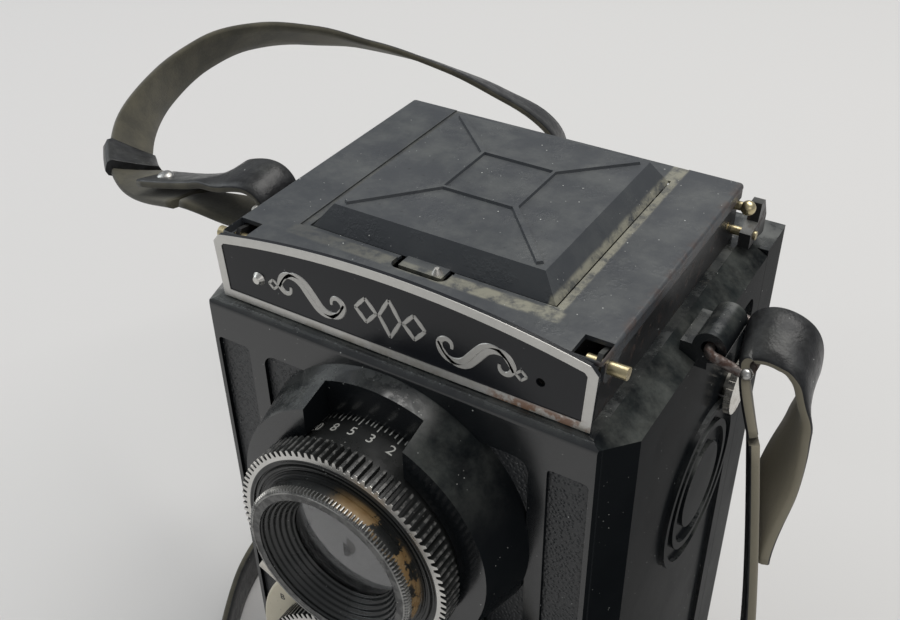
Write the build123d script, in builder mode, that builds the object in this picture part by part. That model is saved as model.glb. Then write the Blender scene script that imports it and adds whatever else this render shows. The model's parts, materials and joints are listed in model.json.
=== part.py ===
"""A 6 x 6 cm twin-lens reflex camera with a moulded bakelite body and a leather neck strap.

Frame: millimetres, +Z up, the lenses face -Y, origin on the axis of the tripod bush where it meets
the surface that the camera stands on.
"""
from build123d import *
from math import cos, pi, radians, sin, sqrt, tan
import os

os.makedirs("parts", exist_ok=True)

# ---------------------------------------------------------------- driving dimensions
HALF_W = 38.6          # half the width of the bakelite body
FRONT_Y = -19.8        # front face of the body
SEAM_Y = 42.0          # parting line between body and back door
DOOR_Y = 55.0          # rear face of the back door
TOP_Z = 116.0          # flat top of the body
DOOR_TOP = 114.5       # top of the back door
WALL = 2.6             # bakelite wall
FLOOR = 2.0            # thickness of the body's bottom
CORNER = (3.6, 7.0)    # cut of the front corners across X and along Y
SHOULDER = (4.8, 2.6)  # slope of the top's side edges across X and down Z

TAKING_Z = 50.9        # axis of the taking lens
LENS_PITCH = 38.0      # distance between the two lens axes
VIEWING_Z = TAKING_Z + LENS_PITCH
FILM_Y = 49.0          # film plane
GATE = 56.0            # side of the square picture

TEETH = 92             # teeth of each focusing ring
TOOTH_TIP = LENS_PITCH / 2 * (TEETH + 2) / TEETH
TOOTH_ROOT = TOOTH_TIP - 0.95
RING_FRONT = -34.5     # front face of the focusing rings
RING_BACK = -30.6      # rear face of their teeth
RIM_Y = -38.1          # front rim of the two front cells
RIM_R = 14.6           # outer radius of that rim

CHAMBER_W = 31.5       # half width of the film chambers
SPOOL_R = 12.6         # spool flange radius
SPOOL_HALF = 30.9      # half length of a 120 spool
TAKE_UP = (33.0, 90.9)     # Y and Z of the take-up spool's axis
SUPPLY = (22.0, 15.4)      # Y and Z of the supply spool's axis
ROLLERS = ((46.4, 17.6), (46.4, 84.2))     # Y and Z of the film rollers
ROLLER_R = 1.8         # film roller radius

SHEET = 0.6            # pressed sheet steel of the hood walls
LID_TOP = 127.6        # top face of the hood lid
LID_HALF = 33.2        # half width of the lid
LID_FRONT = -16.4      # front edge of the lid
LID_BACK = 39.8        # rear edge of the lid
HINGE = (-13.6, 125.0)     # Y and Z of the lid's hinge axis
WALL_HINGE_X = 30.2    # hinge lines of the folding side walls
WALL_HINGE_Z = 118.6   # height of those lines
REAR_HINGE = (36.8, 120.4)     # Y and Z of the rear wall's hinge line

PLATE_Y = -18.0        # front face of the nameplate
PLATE_HALF = 33.5      # half width of the nameplate
PLATE_LOW = 116.2      # lower edge of the nameplate
PLATE_SIDE = 126.4     # height of its short sides
PLATE_CROWN = 131.1    # top of its arched edge

LUG = (40.4, 116.8)    # X and Z of a strap lug's bore
LUG_Y = (7.6, 17.1)    # the lug's two ends
DOOR_HINGE = (42.0, 1.4)       # Y and Z of the back door's hinge

BUSH_BORE = 3.175      # bore of the 1/4 inch tripod thread
BUSH_LENGTH = 7.9      # its length


def front_plane(y):
    """A sketch plane facing the subject at depth y: local x is X, local y is Z, normal is -Y."""
    return Plane(origin=(0, y, 0), x_dir=(1, 0, 0), z_dir=(0, -1, 0))


def side_plane(x):
    """A sketch plane at width x: local x is Y, local y is Z, normal is +X."""
    return Plane(origin=(x, 0, 0), x_dir=(0, 1, 0), z_dir=(1, 0, 0))


# ---------------------------------------------------------------- body
MIRROR_SEAT = 79.5     # the mirror's bed is the plane z = y + MIRROR_SEAT
BED_WALL = 2.83        # height of the moulded web behind the mirror, measured along Z
CHAMBER_FRONT = FRONT_Y + 2.8

with BuildPart() as body_shell:
    with BuildSketch(Plane.XY):
        with BuildLine():
            Polyline(
                (-HALF_W, SEAM_Y),
                (-HALF_W, FRONT_Y + CORNER[1]),
                (-HALF_W + CORNER[0], FRONT_Y),
                (HALF_W - CORNER[0], FRONT_Y),
                (HALF_W, FRONT_Y + CORNER[1]),
                (HALF_W, SEAM_Y),
                close=True,
            )
        make_face()
    extrude(amount=TOP_Z)
    with BuildSketch(front_plane(SEAM_Y)):
        with BuildLine():
            Polyline(
                (-HALF_W, 0),
                (-HALF_W, TOP_Z - SHOULDER[1]),
                (-HALF_W + SHOULDER[0], TOP_Z),
                (HALF_W - SHOULDER[0], TOP_Z),
                (HALF_W, TOP_Z - SHOULDER[1]),
                (HALF_W, 0),
                close=True,
            )
        make_face()
    extrude(amount=SEAM_Y - FRONT_Y, mode=Mode.INTERSECT)
    front_edges = body_shell.faces().sort_by(Axis.Y)[0].edges()
    fillet(front_edges.filter_by(Axis.X).sort_by(Axis.Z)[-1], radius=1.5)
    # recessed side panels, with raised rings on the side away from the winding knob
    for side in (-1, 1):
        with BuildSketch(side_plane(side * HALF_W)):
            with Locations((15.75, 57.0)):
                RectangleRounded(44.5, 102.0, 3.0)
        extrude(amount=-0.8 * side, mode=Mode.SUBTRACT)
    with BuildSketch(side_plane(HALF_W - 0.9)):
        with Locations((22.8, 74.2)):
            Circle(16.6)
            Circle(15.2, mode=Mode.SUBTRACT)
            Circle(12.8)
            Circle(11.4, mode=Mode.SUBTRACT)
            Circle(8.4)
    extrude(amount=0.9)
    # back chamber for the film path, under and behind the mirror web
    bed_back = MIRROR_SEAT - BED_WALL
    with BuildSketch(side_plane(-CHAMBER_W)):
        with BuildLine():
            Polyline(
                (CHAMBER_FRONT, FLOOR),
                (SEAM_Y + 1, FLOOR),
                (SEAM_Y + 1, 108.0),
                (108.0 - bed_back, 108.0),
                (-12.0, -12.0 + bed_back),
                (CHAMBER_FRONT, -12.0 + bed_back),
                close=True,
            )
        make_face()
    extrude(amount=2 * CHAMBER_W, mode=Mode.SUBTRACT)
    # light cone from the taking lens to the picture gate
    with BuildSketch(front_plane(CHAMBER_FRONT - 0.5)):
        with Locations((0, TAKING_Z)):
            Rectangle(34.0, 34.0)
    with BuildSketch(front_plane(FILM_Y - 0.6)):
        with Locations((0, TAKING_Z)):
            Rectangle(GATE + 3.6, GATE + 3.6)
    loft()
    with BuildSketch(front_plane(FILM_Y - 2.4)):
        with Locations((0, TAKING_Z)):
            Rectangle(2 * CHAMBER_W + 0.6, 62.0)
    extrude(amount=-1.8)
    for side in (-1, 1):
        with Locations((side * (CHAMBER_W + 1.0), 44.0, 50.9)):
            Box(2.0, 8.8, 78.0)
    with BuildSketch(front_plane(CHAMBER_FRONT - 0.6)):
        with Locations((0, TAKING_Z)):
            Rectangle(30.0, 30.0)
    with BuildSketch(front_plane(FILM_Y + 0.2)):
        with Locations((0, TAKING_Z)):
            Rectangle(GATE, GATE)
    loft(mode=Mode.SUBTRACT)
    # mirror chamber, open at the top, and the seat of the field lens
    with BuildSketch(side_plane(-27.5)):
        with BuildLine():
            Polyline(
                (CHAMBER_FRONT, TOP_Z + 1),
                (CHAMBER_FRONT, 69.5),
                (-10.0, 69.5),
                (30.0, 30.0 + MIRROR_SEAT),
                (30.0, TOP_Z + 1),
                close=True,
            )
        make_face()
    extrude(amount=55.0, mode=Mode.SUBTRACT)
    with BuildSketch(Plane.XY.offset(112.6)):
        with Locations((0, 8.0)):
            Rectangle(59.0, 50.0)
    extrude(amount=TOP_Z - 112.6 + 1, mode=Mode.SUBTRACT)
    # weight-saving pockets behind the chamber walls
    for side in (-1, 1):
        with Locations((side * 34.8, 1.0, 57.0)):
            Box(2.4, 28.0, 96.0, mode=Mode.SUBTRACT)
    # grained front panels, sunk between plain ribs
    for side in (-1, 1):
        with BuildSketch(front_plane(FRONT_Y)):
            with Locations((side * 30.9, 58.1)):
                RectangleRounded(6.6, 100.4, 0.8)
            with Locations((side * 16.5, 58.1)):
                RectangleRounded(16.2, 100.4, 2.5)
        extrude(amount=-0.8, mode=Mode.SUBTRACT)
    # shroud of the viewing lens, cut away for the shutter and for the distance window
    with BuildSketch(front_plane(FRONT_Y + 1.0)):
        with Locations((0, VIEWING_Z)):
            Circle(25.6)
    extrude(amount=10.2, taper=14)
    with BuildSketch(front_plane(FRONT_Y)):
        with Locations((0, VIEWING_Z)):
            Circle(18.3)
    extrude(amount=12.0, mode=Mode.SUBTRACT)
    with BuildSketch(front_plane(FRONT_Y)):
        with Locations((0, TAKING_Z)):
            Circle(25.0)
    extrude(amount=12.0, mode=Mode.SUBTRACT)
    with Locations((0, FRONT_Y - 6.4, VIEWING_Z + 20.5)):
        Box(18.0, 6.0, 12.0, mode=Mode.SUBTRACT)
    # lens holes
    with BuildSketch(front_plane(CHAMBER_FRONT + 1)):
        with Locations((0, VIEWING_Z)):
            Circle(13.2)
        with Locations((0, TAKING_Z)):
            Circle(12.4)
    extrude(amount=5.0, mode=Mode.SUBTRACT)
    # tripod boss
    with BuildSketch(Plane.XY.offset(FLOOR - 0.5)):
        Circle(8.6)
    extrude(amount=8.5)
    with BuildSketch(Plane.XY):
        Circle(6.2)
    extrude(amount=8.0, mode=Mode.SUBTRACT)
    with BuildSketch(Plane.XY):
        Circle(7.4)
    extrude(amount=1.2, mode=Mode.SUBTRACT)
    with BuildSketch(Plane.XY):
        Circle(3.4)
    extrude(amount=12.0, mode=Mode.SUBTRACT)
    # strap lugs on the two shoulders
    for side in (-1, 1):
        with Locations((side * (LUG[0] - 2.3), sum(LUG_Y) / 2, LUG[1] - 2.1)):
            Box(4.6, LUG_Y[1] - LUG_Y[0], 4.0)
        lug_axis = Plane(origin=(side * LUG[0], LUG_Y[1], LUG[1]), x_dir=(1, 0, 0), z_dir=(0, -1, 0))
        with BuildSketch(lug_axis):
            Circle(2.7)
        extrude(amount=LUG_Y[1] - LUG_Y[0])
        with BuildSketch(lug_axis.offset(-1)):
            Circle(1.3)
        extrude(amount=LUG_Y[1] - LUG_Y[0] + 2, mode=Mode.SUBTRACT)
    # bores for the winding shaft, the spool pins and the film rollers
    with BuildSketch(side_plane(-HALF_W - 2)):
        with Locations(TAKE_UP, SUPPLY):
            Circle(2.56)
    extrude(amount=2 * HALF_W + 4, mode=Mode.SUBTRACT)
    with BuildSketch(side_plane(-CHAMBER_W - 1.6)):
        with Locations(*ROLLERS):
            Circle(1.06)
    extrude(amount=2 * CHAMBER_W + 3.2, mode=Mode.SUBTRACT)
    # relief for the back door's hinge, with two knuckles left on the body
    with Locations((0, SEAM_Y, 1.5)):
        Box(2 * HALF_W + 2, 3.2, 3.2, mode=Mode.SUBTRACT)
    for side in (-1, 1):
        with Locations((side * 25.0, SEAM_Y - 1.2, DOOR_HINGE[1])):
            Box(10.0, 2.4, 1.8)
        knuckle = Plane(origin=(side * 25.0 - 5.0, *DOOR_HINGE), x_dir=(0, 1, 0), z_dir=(1, 0, 0))
        with BuildSketch(knuckle):
            Circle(1.3)
        extrude(amount=10.0)
    with BuildSketch(Plane(origin=(-40, *DOOR_HINGE), x_dir=(0, 1, 0), z_dir=(1, 0, 0))):
        Circle(0.62)
    extrude(amount=80.0, mode=Mode.SUBTRACT)
body_shell.part.label = "body_shell"
export_step(body_shell.part, "parts/body_shell.step")

with BuildPart() as tripod_bush:
    with BuildSketch(Plane.XY):
        Circle(7.3)
    extrude(amount=1.0)
    with BuildSketch(Plane.XY):
        Circle(6.15)
    extrude(amount=BUSH_LENGTH)
    with BuildSketch(Plane.XY):
        Circle(BUSH_BORE)
    extrude(amount=9.0, mode=Mode.SUBTRACT)
tripod_bush.part.label = "tripod_bush"
export_step(tripod_bush.part, "parts/tripod_bush.step")

# ---------------------------------------------------------------- mirror and focusing screen
MIRROR_T = 1.6         # thickness of the mirror glass
SCREEN_Y = 8.0         # middle of the screen from front to back
mirror_plane = Plane(
    origin=(0, 9.0, 9.0 + MIRROR_SEAT + 0.08), x_dir=(1, 0, 0), z_dir=(0, -1, 1)
)

with BuildPart() as reflex_mirror:
    with BuildSketch(mirror_plane):
        Rectangle(52.0, 52.0)
    extrude(amount=MIRROR_T)
reflex_mirror.part.label = "reflex_mirror"
export_step(reflex_mirror.part, "parts/reflex_mirror.step")

with BuildPart() as mirror_clips:
    for side in (-1, 1):
        with BuildSketch(mirror_plane.offset(MIRROR_T + 0.02)):
            with Locations((side * 22.0, 24.6)):
                Rectangle(7.0, 4.2)
        extrude(amount=0.5)
        with BuildSketch(mirror_plane.offset(0.02)):
            with Locations((side * 22.0, 26.4)):
                Rectangle(7.0, 0.6)
        extrude(amount=MIRROR_T + 0.5)
mirror_clips.part.label = "mirror_clips"
export_step(mirror_clips.part, "parts/mirror_clips.step")

with BuildPart() as field_lens:
    with BuildSketch(Plane.XY.offset(112.65)):
        with Locations((0, SCREEN_Y)):
            Rectangle(58.6, 49.6)
    extrude(amount=2.4)
    with BuildSketch(Plane.XY.offset(115.0)):
        with Locations((0, SCREEN_Y)):
            Rectangle(53.0, 44.0)
    extrude(amount=1.5, taper=30)
field_lens.part.label = "field_lens"
export_step(field_lens.part, "parts/field_lens.step")

# ---------------------------------------------------------------- hood frame and nameplate
TRAY_HALF = 32.2       # outer half width of the hood's base tray
TRAY_T = 0.8           # its sheet thickness
TRAY_Z = TOP_Z + 0.02  # its underside
EAR_R = 1.8            # radius of the ears round the lid pins
PIN_R = 1.0            # lid pin radius

with BuildPart() as hood_frame:
    with BuildSketch(Plane.XY.offset(TRAY_Z)):
        with Locations((0, 11.8)):
            Rectangle(2 * TRAY_HALF, 58.0)
        with Locations((0, SCREEN_Y)):
            Rectangle(54.0, 45.0, mode=Mode.SUBTRACT)
    extrude(amount=TRAY_T)
    for side in (-1, 1):
        with BuildSketch(side_plane(side * (TRAY_HALF - TRAY_T / 2) - TRAY_T / 2)):
            with BuildLine():
                Polyline(
                    (-16.6, TRAY_Z),
                    (-16.6, 119.4),
                    (-15.1, 121.6),
                    (HINGE[0] - EAR_R + 0.2, HINGE[1]),
                    (HINGE[0], HINGE[1] + EAR_R),
                    (-10.0, 126.2),
                    (38.6, 126.2),
                    (40.8, 122.0),
                    (40.8, TRAY_Z),
                    close=True,
                )
            make_face()
        extrude(amount=TRAY_T)
    with BuildSketch(side_plane(-TRAY_HALF - 1)):
        with Locations(HINGE):
            Circle(PIN_R + 0.03)
        with Locations(REAR_HINGE):
            Circle(0.63)
    extrude(amount=2 * TRAY_HALF + 2, mode=Mode.SUBTRACT)
    with BuildSketch(front_plane(PLATE_Y + 1.3)):
        with Locations((0, 118.2)):
            Rectangle(2 * TRAY_HALF, 2 * (118.2 - TRAY_Z))
        for side in (-1, 1):
            with Locations((side * 25.0, 121.0)):
                Rectangle(7.0, 4.8)
    extrude(amount=0.5)
    with BuildSketch(front_plane(PLATE_Y + 1.4)):
        with Locations((-25.0, 121.9), (25.0, 121.9)):
            Circle(0.72)
    extrude(amount=0.8, mode=Mode.SUBTRACT)
    for y in (-8.6, 34.0):
        for side in (-1, 1):
            with BuildSketch(front_plane(y + 0.6)):
                with Locations((side * 30.1, (TRAY_Z + 119.7) / 2)):
                    Rectangle(2.6, 119.7 - TRAY_Z)
            extrude(amount=0.6)
            with BuildSketch(front_plane(y + 1.0)):
                with Locations((side * WALL_HINGE_X, WALL_HINGE_Z)):
                    Circle(0.63)
            extrude(amount=1.4, mode=Mode.SUBTRACT)
hood_frame.part.label = "hood_frame"
export_step(hood_frame.part, "parts/hood_frame.step")

with BuildPart() as field_lens_bezel:
    with BuildSketch(Plane.XY.offset(TRAY_Z + TRAY_T)):
        with Locations((0, SCREEN_Y)):
            Rectangle(57.0, 48.0)
            Rectangle(51.0, 42.0, mode=Mode.SUBTRACT)
    extrude(amount=0.4)
field_lens_bezel.part.label = "field_lens_bezel"
export_step(field_lens_bezel.part, "parts/field_lens_bezel.step")

with BuildPart() as nameplate:
    with BuildSketch(front_plane(PLATE_Y + 0.8)):
        with BuildLine():
            Line((-PLATE_HALF + 0.6, PLATE_LOW), (PLATE_HALF - 0.6, PLATE_LOW))
            Line((PLATE_HALF - 0.6, PLATE_LOW), (PLATE_HALF, PLATE_SIDE))
            Line((PLATE_HALF, PLATE_SIDE), (PLATE_HALF - 1.2, PLATE_SIDE + 1.4))
            ThreePointArc(
                (PLATE_HALF - 1.2, PLATE_SIDE + 1.4),
                (0, PLATE_CROWN),
                (-PLATE_HALF + 1.2, PLATE_SIDE + 1.4),
            )
            Line((-PLATE_HALF + 1.2, PLATE_SIDE + 1.4), (-PLATE_HALF, PLATE_SIDE))
            Line((-PLATE_HALF, PLATE_SIDE), (-PLATE_HALF + 0.6, PLATE_LOW))
        make_face()
    extrude(amount=0.8)
    offset_face = nameplate.faces().sort_by(Axis.Y)[0]
    with BuildSketch(front_plane(PLATE_Y)):
        add(offset_face)
        offset(amount=-1.5, kind=Kind.INTERSECTION, mode=Mode.REPLACE)
    extrude(amount=-0.15, mode=Mode.SUBTRACT)
    with BuildSketch(front_plane(PLATE_Y)):
        with Locations((-25.0, 121.9), (25.0, 121.9)):
            Circle(0.72)
    extrude(amount=-0.8, mode=Mode.SUBTRACT)
nameplate.part.label = "nameplate"
export_step(nameplate.part, "parts/nameplate.step")

with BuildPart() as nameplate_rivet:
    with BuildSketch(front_plane(PLATE_Y + 1.7)):
        with Locations((-25.0, 121.9)):
            Circle(0.68)
    extrude(amount=1.7)
    with BuildSketch(front_plane(PLATE_Y + 0.15)):
        with Locations((-25.0, 121.9)):
            Circle(1.15)
    extrude(amount=0.75, taper=35)
nameplate_rivet.part.label = "nameplate_rivet"
export_step(nameplate_rivet.part, "parts/nameplate_rivet.step")

# ---------------------------------------------------------------- folding hood
LID_T = 0.8            # sheet thickness of the lid
FLAP_HALF = 21.8       # half width of the sports finder flap at its foot
FLAP_Y = (-7.4, 34.2)  # its front and rear edge
FLAP_RISE = 3.4        # height of its raised panel above the lid
PANEL_HALF = 18.8      # half width of the raised panel
PANEL_Y = (-5.2, 32.4)     # front and rear edge of the raised panel
STRIP_HALF = 23.4      # half width of the sunk strip that holds the flap
SKIRT_LOW = 125.2      # lower edge of the lid's skirts

with BuildPart() as hood_lid:
    with BuildSketch(Plane.XY.offset(LID_TOP - LID_T)):
        with Locations((0, (LID_FRONT + LID_BACK) / 2)):
            RectangleRounded(2 * LID_HALF, LID_BACK - LID_FRONT, 0.8)
    extrude(amount=LID_T)
    top_rim = hood_lid.faces().sort_by(Axis.Z)[-1].edges()
    fillet(top_rim, radius=0.6)
    for side in (-1, 1):
        with BuildSketch(side_plane(side * (LID_HALF - 0.3) - 0.3)):
            with BuildLine():
                Polyline(
                    (LID_FRONT + 1.4, LID_TOP - 0.65),
                    (HINGE[0] - 1.9, HINGE[1] - 1.2),
                    (HINGE[0] - 1.0, HINGE[1] - 2.1),
                    (HINGE[0] + 1.6, HINGE[1] - 2.1),
                    (HINGE[0] + 4.0, SKIRT_LOW),
                    (LID_BACK - 0.9, SKIRT_LOW),
                    (LID_BACK - 0.9, LID_TOP - 0.65),
                    close=True,
                )
            make_face()
        extrude(amount=0.6)
        # window over the ear of each lid pin
        with Locations((side * 30.7, -13.9, LID_TOP)):
            Box(4.4, 4.4, 3.0, mode=Mode.SUBTRACT)
    with BuildSketch(side_plane(-LID_HALF - 1)):
        with Locations(HINGE):
            Circle(PIN_R + 0.05)
    extrude(amount=2 * LID_HALF + 2, mode=Mode.SUBTRACT)
    with Locations((0, LID_BACK - 0.35, (SKIRT_LOW + LID_TOP - 0.65) / 2)):
        Box(2 * LID_HALF - 1.8, 0.7, LID_TOP - 0.65 - SKIRT_LOW)
    with BuildSketch(Plane.XY.offset(LID_TOP - 0.3)):
        with Locations((0, (FLAP_Y[0] - 1.2 + LID_BACK + 1.0) / 2)):
            Rectangle(2 * STRIP_HALF, LID_BACK - FLAP_Y[0] + 2.2)
    extrude(amount=1.0, mode=Mode.SUBTRACT)
    with BuildSketch(Plane.XY.offset(LID_TOP - LID_T - 1)):
        with Locations((0, sum(FLAP_Y) / 2)):
            Rectangle(2 * FLAP_HALF + 0.6, FLAP_Y[1] - FLAP_Y[0] + 0.6)
        with Locations((0.3, FLAP_Y[0] - 1.7)):
            RectangleRounded(9.8, 4.4, 1.4)
    extrude(amount=3.0, mode=Mode.SUBTRACT)
    # lugs for the flap's pivots, under the lid behind the opening
    for side in (-1, 1):
        with Locations((side * 24.0, FLAP_Y[1] - 0.9, LID_TOP - 2.0)):
            Box(1.6, 3.4, 2.6)
        with BuildSketch(side_plane(side * 24.0 - 1)):
            with Locations((FLAP_Y[1] - 0.9, LID_TOP - 2.2)):
                Circle(0.53)
        extrude(amount=2.0, mode=Mode.SUBTRACT)
hood_lid.part.label = "hood_lid"
export_step(hood_lid.part, "parts/hood_lid.step")

FLAP_PIVOT = (FLAP_Y[1] - 0.9, LID_TOP - 2.2)
CROSS_HALF = 6.6       # half side of the embossed square
CROSS_Y = sum(PANEL_Y) / 2 + 0.9

with BuildPart() as sports_flap:
    foot_z = LID_TOP - 0.45
    with BuildSketch(Plane.XY.offset(foot_z)):
        with Locations((0, sum(FLAP_Y) / 2)):
            Rectangle(2 * FLAP_HALF, FLAP_Y[1] - FLAP_Y[0])
    with BuildSketch(Plane.XY.offset(LID_TOP + FLAP_RISE)):
        with Locations((0, sum(PANEL_Y) / 2)):
            Rectangle(2 * PANEL_HALF, PANEL_Y[1] - PANEL_Y[0])
    loft()
    with BuildSketch(Plane.XY.offset(foot_z)):
        with Locations((0, sum(FLAP_Y) / 2)):
            Rectangle(2 * FLAP_HALF - 1.4, FLAP_Y[1] - FLAP_Y[0] - 1.4)
    with BuildSketch(Plane.XY.offset(LID_TOP + FLAP_RISE - SHEET)):
        with Locations((0, sum(PANEL_Y) / 2)):
            Rectangle(2 * PANEL_HALF - 0.9, PANEL_Y[1] - PANEL_Y[0] - 0.9)
    loft(mode=Mode.SUBTRACT)
    # embossed square and the four ribs that run from it to the corners
    with BuildSketch(Plane.XY.offset(LID_TOP + FLAP_RISE - 0.2)):
        with Locations((0, CROSS_Y)):
            Rectangle(2 * CROSS_HALF + 1.4, 2 * CROSS_HALF + 1.4)
            Rectangle(2 * CROSS_HALF - 0.6, 2 * CROSS_HALF - 0.6, mode=Mode.SUBTRACT)
        with BuildLine():
            for side in (-1, 1):
                for corner_y, panel_y in ((-1, PANEL_Y[0] + 1.0), (1, PANEL_Y[1] - 1.0)):
                    start = (side * CROSS_HALF, CROSS_Y + corner_y * CROSS_HALF)
                    Line(start, (side * (PANEL_HALF - 1.4), panel_y))
        trace(line_width=1.4)
    extrude(amount=0.65, taper=20)
    with Locations((0.3, FLAP_Y[0] - 1.2, foot_z - 0.1)):
        Box(7.6, 3.0, 0.6)
    # pivots that snap into the lid's lugs
    for side in (-1, 1):
        with Locations((side * 21.0, FLAP_PIVOT[0], LID_TOP - 1.5)):
            Box(1.2, 2.0, 2.6)
        with BuildSketch(side_plane(side * 22.6 - 2.2)):
            with Locations(FLAP_PIVOT):
                Circle(0.5)
        extrude(amount=4.4)
sports_flap.part.label = "sports_flap"
export_step(sports_flap.part, "parts/sports_flap.step")

with BuildPart() as flap_catch:
    with BuildSketch(Plane.XY.offset(foot_z + 0.2)):
        with Locations((2.8, FLAP_Y[0] - 1.7)):
            Circle(0.9)
    extrude(amount=0.9, taper=30)
flap_catch.part.label = "flap_catch"
export_step(flap_catch.part, "parts/flap_catch.step")

SIDE_REACH = 29.0      # height of the side walls when they stand
REAR_REACH = 29.0      # height of the rear wall
KNUCKLE_R = 1.1        # curled edge of a wall round its pin


def side_wall(side):
    """A hood side wall lying folded: side -1 is hinged on the left, 1 on the right."""
    with BuildPart() as wall:
        with BuildSketch(Plane.XY.offset(WALL_HINGE_Z - SHEET / 2)):
            with BuildLine():
                Polyline(
                    (side * WALL_HINGE_X, -6.8),
                    (side * (WALL_HINGE_X - 16.0), -6.8),
                    (side * (WALL_HINGE_X - SIDE_REACH), 2.0),
                    (side * (WALL_HINGE_X - SIDE_REACH), 9.4),
                    (side * (WALL_HINGE_X - 4.0), 33.2),
                    (side * WALL_HINGE_X, 33.2),
                    close=True,
                )
            make_face()
        extrude(amount=SHEET)
        with BuildSketch(front_plane(33.2)):
            with Locations((side * WALL_HINGE_X, WALL_HINGE_Z)):
                Circle(KNUCKLE_R)
        extrude(amount=40.0)
        with BuildSketch(front_plane(34.0)):
            with Locations((side * WALL_HINGE_X, WALL_HINGE_Z)):
                Circle(0.64)
        extrude(amount=42.0, mode=Mode.SUBTRACT)
    return wall


left_wall = side_wall(-1)
left_wall.part.label = "left_wall"
export_step(left_wall.part, "parts/left_wall.step")

right_wall = side_wall(1)
right_wall.part.label = "right_wall"
export_step(right_wall.part, "parts/right_wall.step")

with BuildPart() as rear_wall:
    with BuildSketch(Plane.XY.offset(REAR_HINGE[1] - SHEET / 2)):
        with Locations((0, REAR_HINGE[0] - REAR_REACH / 2)):
            Rectangle(56.0, REAR_REACH)
        with Locations((0, REAR_HINGE[0] - REAR_REACH + 9.0)):
            Circle(4.2, mode=Mode.SUBTRACT)
    extrude(amount=SHEET)
    with BuildSketch(side_plane(-28.0)):
        with Locations(REAR_HINGE):
            Circle(KNUCKLE_R)
    extrude(amount=56.0)
    with BuildSketch(side_plane(-29.0)):
        with Locations(REAR_HINGE):
            Circle(0.64)
    extrude(amount=58.0, mode=Mode.SUBTRACT)
rear_wall.part.label = "rear_wall"
export_step(rear_wall.part, "parts/rear_wall.step")

MAGNIFIER_Y = 23.4     # middle of the magnifier while the hood is folded

with BuildPart() as magnifier_arm:
    with BuildSketch(Plane.XY.offset(125.0)):
        with Locations((0, MAGNIFIER_Y)):
            Circle(9.5)
        with Locations((0, MAGNIFIER_Y + 8.0)):
            Rectangle(12.0, 14.0)
        with Locations((0, MAGNIFIER_Y)):
            Circle(7.4, mode=Mode.SUBTRACT)
    extrude(amount=0.6)
    with BuildSketch(Plane.XY.offset(122.4)):
        with Locations((0, MAGNIFIER_Y)):
            Circle(9.5)
            Circle(8.55, mode=Mode.SUBTRACT)
    extrude(amount=2.6)
    with Locations((0, 37.6, 126.0)):
        Box(12.0, 1.6, 1.5)
magnifier_arm.part.label = "magnifier_arm"
export_step(magnifier_arm.part, "parts/magnifier_arm.step")

with BuildPart() as magnifier_lens:
    with BuildSketch(Plane.XY.offset(122.5)):
        with Locations((0, MAGNIFIER_Y)):
            Circle(8.5)
    extrude(amount=2.45)
magnifier_lens.part.label = "magnifier_lens"
export_step(magnifier_lens.part, "parts/magnifier_lens.step")

# ---------------------------------------------------------------- lenses
TUBE_R = 13.1          # outer radius of the fixed tubes that the front cells turn on
TUBE_BORE = 11.6       # their bore
CELL_BORE = TUBE_R + 0.06
GLASS_R = 10.3         # radius of the front glasses
DRUM_R = 17.9          # scale drum behind the viewing lens's focusing ring


def turned(points, axis_z):
    """A ring turned about a lens axis, from its profile of (radius, y) points."""
    with BuildPart() as ring:
        with BuildSketch(side_plane(0)):
            with BuildLine():
                Polyline(*[(y, axis_z + r) for r, y in points], close=True)
            make_face()
        revolve(axis=Axis((0, 0, axis_z), (0, 1, 0)))
    return ring


def focus_ring(axis_z, first_tooth, drum_back):
    """A toothed focusing ring with its front cell.

    first_tooth turns its teeth, in tooth pitches, and drum_back is the rear end of its scale drum.
    """
    profile = (
        (CELL_BORE, -31.8),
        (17.1, -31.8),
        (17.1, drum_back),
        (DRUM_R, drum_back),
        (DRUM_R, RING_BACK),
        (TOOTH_ROOT, RING_BACK),
        (TOOTH_ROOT, RING_FRONT),
        (RIM_R + 0.4, RING_FRONT),
        (RIM_R + 0.4, RING_FRONT - 0.7),
        (RIM_R, RING_FRONT - 0.7),
        (RIM_R, RIM_Y),
        (12.95, RIM_Y),
        (12.7, -37.2),
        (9.7, -33.5),
        (9.7, -33.25),
        (GLASS_R + 0.05, -33.25),
        (GLASS_R + 0.05, -32.4),
        (CELL_BORE, -32.4),
    )
    root_half = 0.46
    tip_half = 0.21
    with BuildPart() as ring:
        add(turned(profile, axis_z).part)
        with BuildSketch(front_plane(RING_BACK)):
            with Locations((0, axis_z)):
                with PolarLocations(0, TEETH, start_angle=first_tooth * 360 / TEETH):
                    Polygon(
                        (TOOTH_ROOT - 0.2, -root_half),
                        (TOOTH_TIP, -tip_half),
                        (TOOTH_TIP, tip_half),
                        (TOOTH_ROOT - 0.2, root_half),
                        align=None,
                    )
        extrude(amount=RING_BACK - RING_FRONT)
        # turned grooves on the front of the ring
        for r in (15.9, 16.8):
            with BuildSketch(front_plane(RING_FRONT)):
                with Locations((0, axis_z)):
                    Circle(r + 0.25)
                    Circle(r - 0.25, mode=Mode.SUBTRACT)
            extrude(amount=-0.35, mode=Mode.SUBTRACT)
    return ring


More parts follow.
